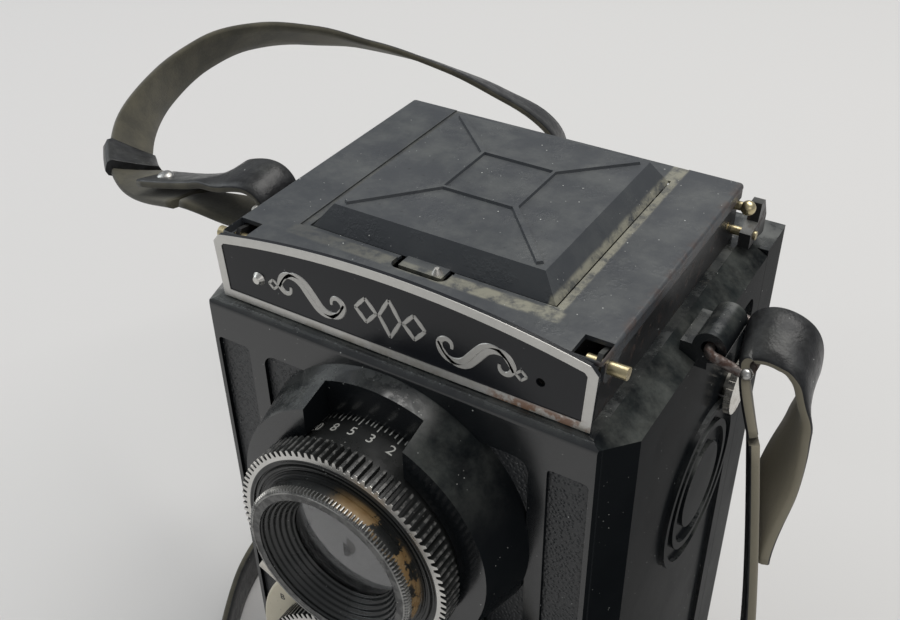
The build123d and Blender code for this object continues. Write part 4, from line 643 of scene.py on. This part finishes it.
def finish_nodes():
    """Gives every CAD node that stays visible its finish."""
    metal = bright_metal
    black = lacquer("black_lacquer")
    steel = metal("steel", (0.46, 0.46, 0.45), 0.3)
    brushed = metal("lever_plating", (0.62, 0.60, 0.55), 0.26)
    brass = metal("pin_brass", (0.60, 0.52, 0.32), 0.32, (0.16, 0.10, 0.05), 0.5)
    paint = hood_paint()
    inside = hood_inside()
    shell = bakelite()
    lens = clear_glass("lens_glass", (0.86, 0.88, 0.90))
    black_paint = lacquer("spool_paint", (0.02, 0.02, 0.021), 0.45)
    groups = (
        (shell, "body_shell", "back_door"),
        (paint, "hood_lid", "sports_flap"),
        (inside, "hood_frame", "left_wall", "right_wall", "rear_wall", "magnifier_arm", "field_lens_bezel"),
        (inside, "door_catch"),
        (nameplate_finish(), "nameplate"),
        (metal("rivet", (0.66, 0.65, 0.62), 0.34), "nameplate_rivet", "flap_catch"),
        (lacquered_ring("viewing_ring", VIEWING, True), "viewing_focus_ring"),
        (lacquered_ring("taking_ring", TAKING, False), "taking_focus_ring"),
        (shutter_cream(), "shutter_face"),
        (black, "viewing_tube", "taking_front_tube", "taking_rear_tube", "lens_nuts", "shutter_case"),
        (black, "pressure_plate", "window_cover", "advance_knob", "diaphragm_blades"),
        (steel, "pressure_springs", "winding_shaft", "spool_pivot", "shutter_blade_upper"),
        (steel, "shutter_blade_lower", "door_hinge_pin", "mirror_clips", "upper_film_roller"),
        (steel, "lower_film_roller", "tripod_bush"),
        (brushed, "cocking_lever", "release_lever", "aperture_lever", "self_timer_lever"),
        (brushed, "speed_ring", "sync_socket", "cable_socket", "upper_spool_knob", "lower_spool_knob"),
        (brass, "hood_pins"),
        (rusty_wire(), "wire_rings"),
        (lens, "viewing_front_glass", "viewing_rear_glass", "taking_front_glass", "taking_rear_glass"),
        (clear_glass("field_glass", (0.90, 0.92, 0.93), 0.12), "field_lens"),
        (lens, "magnifier_lens"),
        (mirror_finish(), "reflex_mirror"),
        (red_glass(), "red_window"),
        (black_paint, "supply_spool", "take_up_spool"),
    )
    for material, *names in groups:
        for name in names:
            node = SHOWN[name]
            node.data.materials.clear()
            node.data.materials.append(material)
    FINISHES["steel"] = steel
    FINISHES["silver"] = print_finish("plate_silver", (0.60, 0.59, 0.56), 0.6)
    FINISHES["white_print"] = print_finish("white_print", (0.62, 0.62, 0.58), 0.0)
    FINISHES["black_print"] = print_finish("black_print", (0.02, 0.02, 0.02), 0.0)
    FINISHES["knurl"] = metal("knurl", (0.30, 0.30, 0.29), 0.3, (0.02, 0.02, 0.02), 0.8)


# ---------------------------------------------------------------- pieces made here
def add_mesh(name, mesh, body, slot, *materials):
    """Links a mesh as a piece that rides on a body."""
    piece = bpy.data.objects.new(name, mesh)
    bpy.context.scene.collection.objects.link(piece)
    for material in materials:
        mesh.materials.append(material)
    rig.ride(piece, body)
    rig.slot(piece, slot)
    return piece


def smooth_line(points, resolution=10):
    """Points along the NURBS spline that has these points as its control points."""
    curve = bpy.data.curves.new("guide", "CURVE")
    curve.dimensions = "3D"
    spline = curve.splines.new("NURBS")
    spline.points.add(len(points) - 1)
    for point, place in zip(spline.points, points):
        point.co = (*place, 1)
    spline.order_u = 3
    spline.use_endpoint_u = True
    spline.resolution_u = resolution
    guide = bpy.data.objects.new("guide", curve)
    bpy.context.scene.collection.objects.link(guide)
    graph = bpy.context.evaluated_depsgraph_get()
    mesh = bpy.data.meshes.new_from_object(guide.evaluated_get(graph))
    line = [vertex.co.copy() for vertex in mesh.vertices]
    bpy.data.objects.remove(guide)
    bpy.data.meshes.remove(mesh)
    return line


def ribbon_mesh(name, line, widthwise, width, thickness):
    """A flat strap along a line. widthwise gives its width's direction at places from 0 to 1."""
    lengths = [0.0]
    for before, after in zip(line, line[1:]):
        lengths.append(lengths[-1] + (after - before).length)
    bevel = 0.22 * thickness
    half, top = width / 2, thickness / 2
    profile = (
        (-half + bevel, top), (-half * 0.5, top * 1.06), (0, top * 1.1), (half * 0.5, top * 1.06),
        (half - bevel, top), (half, top - bevel), (half, -top + bevel), (half - bevel, -top),
        (half * 0.5, -top * 0.96), (0, -top * 0.94), (-half * 0.5, -top * 0.96), (-half + bevel, -top),
        (-half, -top + bevel), (-half, top - bevel),
    )
    mesh = bpy.data.meshes.new(name)
    rows = []
    grid = bmesh.new()
    for index, place in enumerate(line):
        ahead = line[min(index + 1, len(line) - 1)] - line[max(index - 1, 0)]
        share = lengths[index] / lengths[-1]
        side = direction_at(widthwise, share)
        side = (side - ahead.normalized() * side.dot(ahead.normalized())).normalized()
        outward = ahead.normalized().cross(side)
        rows.append([grid.verts.new(place + side * u + outward * v) for u, v in profile])
    count = len(profile)
    for near, far in zip(rows, rows[1:]):
        for step in range(count):
            following = (step + 1) % count
            face = grid.faces.new((near[step], near[following], far[following], far[step]))
            face.smooth = True
            face.material_index = 0 if step in (0, 1, 2, 3, 4, 13) else 1
    grid.faces.new(rows[0][::-1]).material_index = 1
    grid.faces.new(rows[-1]).material_index = 1
    bmesh.ops.recalc_face_normals(grid, faces=grid.faces)
    grid.to_mesh(mesh)
    grid.free()
    return mesh


def direction_at(directions, share):
    """The direction between the two given places that share lies between."""
    for (low, first), (high, second) in zip(directions, directions[1:]):
        if share <= high:
            blend = (share - low) / (high - low)
            blend = blend * blend * (3 - 2 * blend)
            return Vector(first).lerp(Vector(second), blend)
    return Vector(directions[-1][1])


# The strap's middle line from its left fold, round behind, in front and up to the right ring, and the
# direction of its width at shares of its length. The two ends fold through their wire rings.
STRAP_WIDTH = 10 * MM
STRAP_THICKNESS = 1.6 * MM
STRAP_LENGTH = 631 * MM
STRAP_ROUTE = (
    mm(-66.5, 9.5, 110.8),
    mm(-78.0, 12.0, 107.6),
    mm(-90.0, 16.0, 106.0),
    mm(-98.5, 23.0, 105.6),
    mm(-106.0, 33.0, 107.8),
    mm(-112.0, 51.0, 110.5),
    mm(-110.0, 68.0, 114.0),
    mm(-103.5, 87.0, 111.5),
    mm(-86.0, 108.5, 102.5),
    mm(-66.0, 121.0, 92.5),
    mm(-47.0, 136.0, 76.5),
    mm(-48.0, 139.0, 58.0),
    mm(-51.0, 136.0, 40.0),
    mm(-55.0, 125.0, 22.0),
    mm(-60.0, 106.0, 10.0),
    mm(-65.0, 80.0, 5.7),
    mm(-68.0, 52.0, 5.3),
    mm(-69.0, 25.0, 5.3),
    mm(-66.5, 6.0, 5.3),
    mm(-60.0, -8.0, 5.3),
    mm(-50.0, -24.0, 5.3),
    mm(-35.0, -42.0, 5.3),
    mm(-14.0, -55.0, 5.3),
    mm(11.0, -59.0, 5.3),
    mm(36.0, -52.0, 5.9),
    mm(53.0, -37.0, 11.0),
    mm(60.0, -22.0, 26.0),
    mm(60.0, -12.0, 47.0),
    mm(58.0, -6.0, 70.0),
    mm(54.0, -0.8, 91.0),
    mm(49.8, 5.0, 105.5),
)
STRAP_SIDES = (
    (0.0, (-0.45, 0.83, -0.22)),
    (0.03, (-0.5, 0.85, -0.05)),
    (0.048, (-0.15, 0.9, -0.3)),
    (0.065, (0.11, 0.85, -0.5)),
    (0.10, (-0.05, 0.62, -0.77)),
    (0.125, (-0.14, 0.61, -0.78)),
    (0.15, (-0.33, 0.59, -0.74)),
    (0.175, (-0.40, 0.61, -0.68)),
    (0.2, (-0.44, 0.75, -0.49)),
    (0.235, (-0.41, 0.83, -0.39)),
    (0.265, (-0.35, 0.90, -0.26)),
    (0.29, (-0.24, 0.95, -0.19)),
    (0.38, (-0.6, 0.75, -0.1)),
    (0.48, (-0.7, -0.1, -0.7)),
    (0.56, (0, 0, -1)),
    (0.80, (0, 0, -1)),
    (0.88, (-0.4, 0.6, -0.3)),
    (0.94, (-0.28, 0.82, -0.3)),
    (1.0, (-0.28, 0.82, -0.3)),
)
RIGHT_END = (
    mm(49.8, 5.0, 105.5),
    mm(47.0, 8.0, 110.0),
    mm(45.0, 11.0, 114.0),
    mm(45.2, 11.9, 118.0),
    mm(47.8, 11.9, 119.6),
    mm(50.8, 11.9, 119.4),
    mm(53.3, 11.9, 118.0),
    mm(54.9, 11.6, 114.6),
    mm(55.4, 10.2, 108.0),
    mm(54.6, 6.0, 100.0),
    mm(54.4, 2.0, 93.5),
    mm(55.0, -0.6, 88.2),
)
RIGHT_SIDES = (
    (0.0, (-0.28, 0.82, -0.3)),
    (0.15, (-0.3, 0.9, -0.2)),
    (0.3, (-0.1, 0.9, 0.35)),
    (0.5, (-0.1, 0.9, 0.35)),
    (0.62, (-0.3, 0.8, 0.2)),
    (0.8, (-0.6, 0.72, 0.0)),
    (1.0, (-0.42, 0.8, -0.2)),
)
LEFT_END = (
    mm(-80.0, 13.0, 109.6),
    mm(-71.0, 12.6, 111.6),
    mm(-62.0, 12.4, 114.6),
    mm(-55.0, 12.2, 118.0),
    mm(-49.3, 12.2, 119.0),
    mm(-45.9, 12.2, 116.2),
    mm(-46.4, 12.2, 112.0),
    mm(-51.0, 12.0, 109.8),
    mm(-58.0, 11.2, 110.0),
    mm(-66.5, 9.5, 110.8),
)
LEFT_SIDES = (
    (0.0, (-0.4, 0.8, -0.3)),
    (0.3, (-0.35, 0.8, -0.35)),
    (0.42, (0, 1, 0.15)),
    (0.62, (0, 1, 0.15)),
    (0.8, (-0.3, 0.9, 0)),
    (1.0, (-0.45, 0.83, -0.22)),
)


def neck_strap(grain, suede):
    """The strap itself, from the left fold round behind and in front to the right ring."""
    line = smooth_line(STRAP_ROUTE)
    mesh = ribbon_mesh("neck_strap_leather", line, STRAP_SIDES, STRAP_WIDTH, STRAP_THICKNESS)
    strap = add_mesh("neck_strap_leather", mesh, "camera", "strap_leather", grain, suede)
    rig.replaces(strap, "neck_strap")
    return strap, line


def strap_ends(grain, suede):
    """Both folded ends of the strap, each looped through its wire ring."""
    ends = bmesh.new()
    for route, sides in ((RIGHT_END, RIGHT_SIDES), (LEFT_END, LEFT_SIDES)):
        part = ribbon_mesh("fold", smooth_line(route), sides, STRAP_WIDTH, STRAP_THICKNESS)
        ends.from_mesh(part)
        bpy.data.meshes.remove(part)
    mesh = bpy.data.meshes.new("strap_ends_leather")
    ends.to_mesh(mesh)
    ends.free()
    piece = add_mesh("strap_ends_leather", mesh, "camera", "strap_leather", grain, suede)
    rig.replaces(piece, "strap_loops")


def lathe(name, profile, axis, centre, body, slot, material, steps=32):
    """A turned piece: profile gives (radius, height) pairs in millimetres along the axis."""
    turn = Vector(axis).to_track_quat("Z", "Y")
    grid = bmesh.new()
    rows = []
    for radius, height in profile:
        row = []
        for step in range(steps):
            angle = 2 * math.pi * step / steps
            spot = Vector((radius * math.cos(angle), radius * math.sin(angle), height)) * MM
            row.append(grid.verts.new(Vector(centre) + turn @ spot))
        rows.append(row)
    for near, far in zip(rows, rows[1:]):
        for step in range(steps):
            following = (step + 1) % steps
            grid.faces.new((near[step], near[following], far[following], far[step])).smooth = True
    grid.faces.new(rows[0][::-1])
    grid.faces.new(rows[-1])
    bmesh.ops.recalc_face_normals(grid, faces=grid.faces)
    mesh = bpy.data.meshes.new(name)
    grid.to_mesh(mesh)
    grid.free()
    return add_mesh(name, mesh, body, slot, material)


def strap_fittings(grain):
    """The stud and the keeper that hold the left fold, and the polished ends of the rings."""
    stud = ((1.9, 0.0), (1.9, 0.35), (1.6, 0.8), (1.0, 1.15), (0.3, 1.25))
    upright = (-0.1, -0.25, 0.95)
    place = mm(-76.5, 12.4, 111.0)
    lathe("strap_stud", stud, upright, place, "camera", "bright_steel", FINISHES["steel"])
    line = smooth_line((mm(-91.0, 16.9, 106.6), mm(-94.5, 19.4, 106.3), mm(-97.6, 22.4, 106.6)))
    sides = ((0.0, (-0.1, 0.9, -0.3)), (1.0, (0.0, 0.88, -0.4)))
    mesh = ribbon_mesh("strap_keeper", line, sides, STRAP_WIDTH + 1.6 * MM, STRAP_THICKNESS + 2.0 * MM)
    add_mesh("strap_keeper", mesh, "camera", "strap_leather", grain, grain)
    ball = [(1.05 * math.sin(a), -1.05 * math.cos(a)) for a in (0.3, 0.7, 1.1, 1.57, 2.0, 2.4, 2.84)]
    for side in (-1, 1):
        corner = Vector((side * (WIRES_HIGH.x - 1.0 * MM), WIRES_LOW.y + 0.8 * MM, WIRES_LOW.z + 1.1 * MM))
        name = "ring_bead_right" if side > 0 else "ring_bead_left"
        lathe(name, ball, (side, -0.5, -0.3), corner, "camera", "bright_steel", FINISHES["steel"])


def knurled_rim(name, axis, body):
    """The finely knurled bright lip round the opening of a front cell."""
    front = RING_LOW.y - 0.06 * MM
    back = front + 1.25 * MM
    grid = bmesh.new()
    rings = []
    for radius_low, radius_high, y in (
        (14.1, 14.1, front + 0.3 * MM),
        (14.2, 14.2, front),
        (14.42, 14.45, front),
        (14.55, 15.0, front + 0.3 * MM),
        (14.55, 15.0, back),
        (14.3, 14.3, back),
    ):
        ring = []
        for step in range(4 * RIM_TEETH):
            angle = 2 * math.pi * step / (4 * RIM_TEETH)
            radius = (radius_high if step % 4 in (0, 1) else radius_low) * MM
            spot = (axis.x + radius * math.cos(angle), y, axis.z + radius * math.sin(angle))
            ring.append(grid.verts.new(spot))
        rings.append(ring)
    for near, far in zip(rings, rings[1:]):
        for step in range(4 * RIM_TEETH):
            following = (step + 1) % (4 * RIM_TEETH)
            grid.faces.new((near[step], near[following], far[following], far[step]))
    bmesh.ops.recalc_face_normals(grid, faces=grid.faces)
    mesh = bpy.data.meshes.new(name)
    grid.to_mesh(mesh)
    grid.free()
    add_mesh(name, mesh, body, "bright_steel", FINISHES["knurl"])


def stroke_strip(grid, line, widths, y, height):
    """Adds one flat raised stroke in the plane of the nameplate to a mesh."""
    rows = []
    for index, place in enumerate(line):
        ahead = line[min(index + 1, len(line) - 1)] - line[max(index - 1, 0)]
        across = Vector((-ahead.z, 0, ahead.x)).normalized()
        share = index / (len(line) - 1)
        low, high = widths
        half = (low + (high - low) * math.sin(math.pi * share)) * MM / 2
        near = Vector((place.x, y, place.z))
        lift = Vector((0, -height * MM, 0))
        corners = (near - across * half, near - across * half * 0.8 + lift,
                   near + across * half * 0.8 + lift, near + across * half)
        rows.append([grid.verts.new(corner) for corner in corners])
    for first, second in zip(rows, rows[1:]):
        for step in range(3):
            grid.faces.new((first[step], first[step + 1], second[step + 1], second[step]))
        grid.faces.new((first[3], first[0], second[0], second[3]))
    grid.faces.new(rows[0])
    grid.faces.new(rows[-1][::-1])


def plate_ornament():
    """A plain ornament of scrolls and lozenges in place of the maker's lettering."""
    field = PLATE_LOW.y + 0.15 * MM
    bottom = PLATE_LOW.z
    grid = bmesh.new()
    scroll = ((-6.2, -0.4), (-4.6, 2.6), (-1.6, 2.9), (0.4, 0.4), (2.2, -2.2), (5.0, -2.4), (6.4, 0.0),
              (5.2, 1.4), (3.8, 0.9), (3.9, -0.2))
    for middle, flip in ((-14.6, 1), (14.6, -1)):
        rise = 6.4 - abs(middle) * 0.02
        for turn in (1, -1):
            points = [(middle + flip * turn * x, rise + turn * z) for x, z in scroll]
            line = smooth_line([mm(x, 0, z) + Vector((0, 0, bottom)) for x, z in points])
            stroke_strip(grid, line, (0.5, 1.25), field, 0.12)
    lozenges = (
        (-4.3, 7.2, 1.9, 2.2, (0.55, 0.75)),
        (0.0, 7.2, 1.9, 3.4, (0.55, 0.75)),
        (4.3, 7.2, 1.9, 2.2, (0.55, 0.75)),
        (-22.0, 5.7, 0.9, 0.9, (0.4, 0.5)),
        (22.0, 5.7, 0.9, 0.9, (0.4, 0.5)),
    )
    for middle, rise, wide, tall, widths in lozenges:
        outline = ((-wide, 0), (0, tall), (wide, 0), (0, -tall), (-wide, 0))
        for side in zip(outline, outline[1:]):
            first, last = [mm(middle + x, 0, rise + z) + Vector((0, 0, bottom)) for x, z in side]
            stroke_strip(grid, [first, (first + last) / 2, last], widths, field, 0.12)
    bmesh.ops.recalc_face_normals(grid, faces=grid.faces)
    mesh = bpy.data.meshes.new("plate_ornament")
    grid.to_mesh(mesh)
    grid.free()
    add_mesh("plate_ornament", mesh, "camera", "aluminium", FINISHES["silver"])


def print_number(grid, text, size, place, right, up):
    """Adds a number to a mesh, as thin raised print that stands on a surface."""
    letters = bpy.data.curves.new("number", "FONT")
    letters.body = text
    letters.size = size * MM
    letters.extrude = PRINT_HEIGHT
    letters.align_x = "CENTER"
    letters.align_y = "CENTER"
    guide = bpy.data.objects.new("number", letters)
    bpy.context.scene.collection.objects.link(guide)
    graph = bpy.context.evaluated_depsgraph_get()
    mesh = bpy.data.meshes.new_from_object(guide.evaluated_get(graph))
    bpy.data.objects.remove(guide)
    out = Vector(right).cross(Vector(up))
    turn = Matrix((Vector(right), Vector(up), out)).transposed().to_4x4()
    mesh.transform(Matrix.Translation(place) @ turn)
    grid.from_mesh(mesh)


def drum_scale():
    """Distance numbers and ticks round the focusing drum."""
    half_width, short, long = TICK_SIZE
    grid = bmesh.new()
    for number, degrees in (("1.4", 62), ("2", 74), ("3", 86), ("5", 97), ("8", 108), ("20", 121)):
        angle = math.radians(degrees)
        out = Vector((math.cos(angle), 0, math.sin(angle)))
        right = Vector((math.sin(angle), 0, -math.cos(angle)))
        place = VIEWING + out * DRUM_RADIUS
        place.y = RING_HIGH.y - 4.6 * MM
        print_number(grid, number, 2.6, place, right, (0, 1, 0))
        for index in (-2, -1, 0, 1):
            tick = angle + math.radians(3.0 * index)
            away = Vector((math.cos(tick), 0, math.sin(tick)))
            middle = VIEWING + away * (DRUM_RADIUS + 0.04 * MM)
            middle.y = RING_HIGH.y - 1.4 * MM
            spread = Vector((math.sin(tick), 0, -math.cos(tick))) * half_width
            reach = Vector((0, short if index else long, 0))
            corners = [middle + a * spread + b * reach for a, b in ((-1, -1), (1, -1), (1, 1), (-1, 1))]
            grid.faces.new([grid.verts.new(corner) for corner in corners])
    mesh = bpy.data.meshes.new("drum_scale")
    grid.to_mesh(mesh)
    grid.free()
    add_mesh("drum_scale", mesh, "viewing_ring", "aluminium", FINISHES["white_print"])


def face_scale():
    """Stop numbers and shutter times on the shutter's face."""
    stops = (("4.5", 200), ("5.6", 213), ("8", 225), ("11", 236), ("16", 247), ("22", 258))
    times = (("B", 150), ("15", 138), ("30", 126), ("60", 52), ("125", 40), ("250", 26))
    grid = bmesh.new()
    for size, marks in ((2.2, stops), (2.0, times)):
        for number, degrees in marks:
            angle = math.radians(degrees)
            place = TAKING + Vector((math.cos(angle), 0, math.sin(angle))) * MARK_RADIUS
            place.y = FACE_LOW.y - 0.02 * MM
            print_number(grid, number, size, place, (1, 0, 0), (0, 0, 1))
    mesh = bpy.data.meshes.new("face_scale")
    grid.to_mesh(mesh)
    grid.free()
    add_mesh("face_scale", mesh, "camera", "dark_metal", FINISHES["black_print"])


place_camera()
light_studio()
lay_floor()
STRAP_GRAIN = strap_grain()
STRAP_SUEDE = strap_suede()
STRAP, STRAP_LINE = neck_strap(STRAP_GRAIN, STRAP_SUEDE)
finish_nodes()
strap_ends(STRAP_GRAIN, STRAP_SUEDE)
strap_fittings(STRAP_GRAIN)
knurled_rim("viewing_rim_knurl", VIEWING, "viewing_ring")
knurled_rim("taking_rim_knurl", TAKING, "taking_ring")
plate_ornament()
drum_scale()
face_scale()
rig.cord(
    STRAP,
    exit=STRAP_ROUTE[0],
    length=STRAP_LENGTH,
    diameter=STRAP_WIDTH,
    far_end="object",
    stiffness="limp",
    lay="loose",
    path=STRAP_LINE,
)

with open("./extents.json", "w") as size_file:
    both = {"cad": [list(corner) for corner in CAD_BOX], "visual": [list(corner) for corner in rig.bounds()]}
    json.dump(both, size_file)
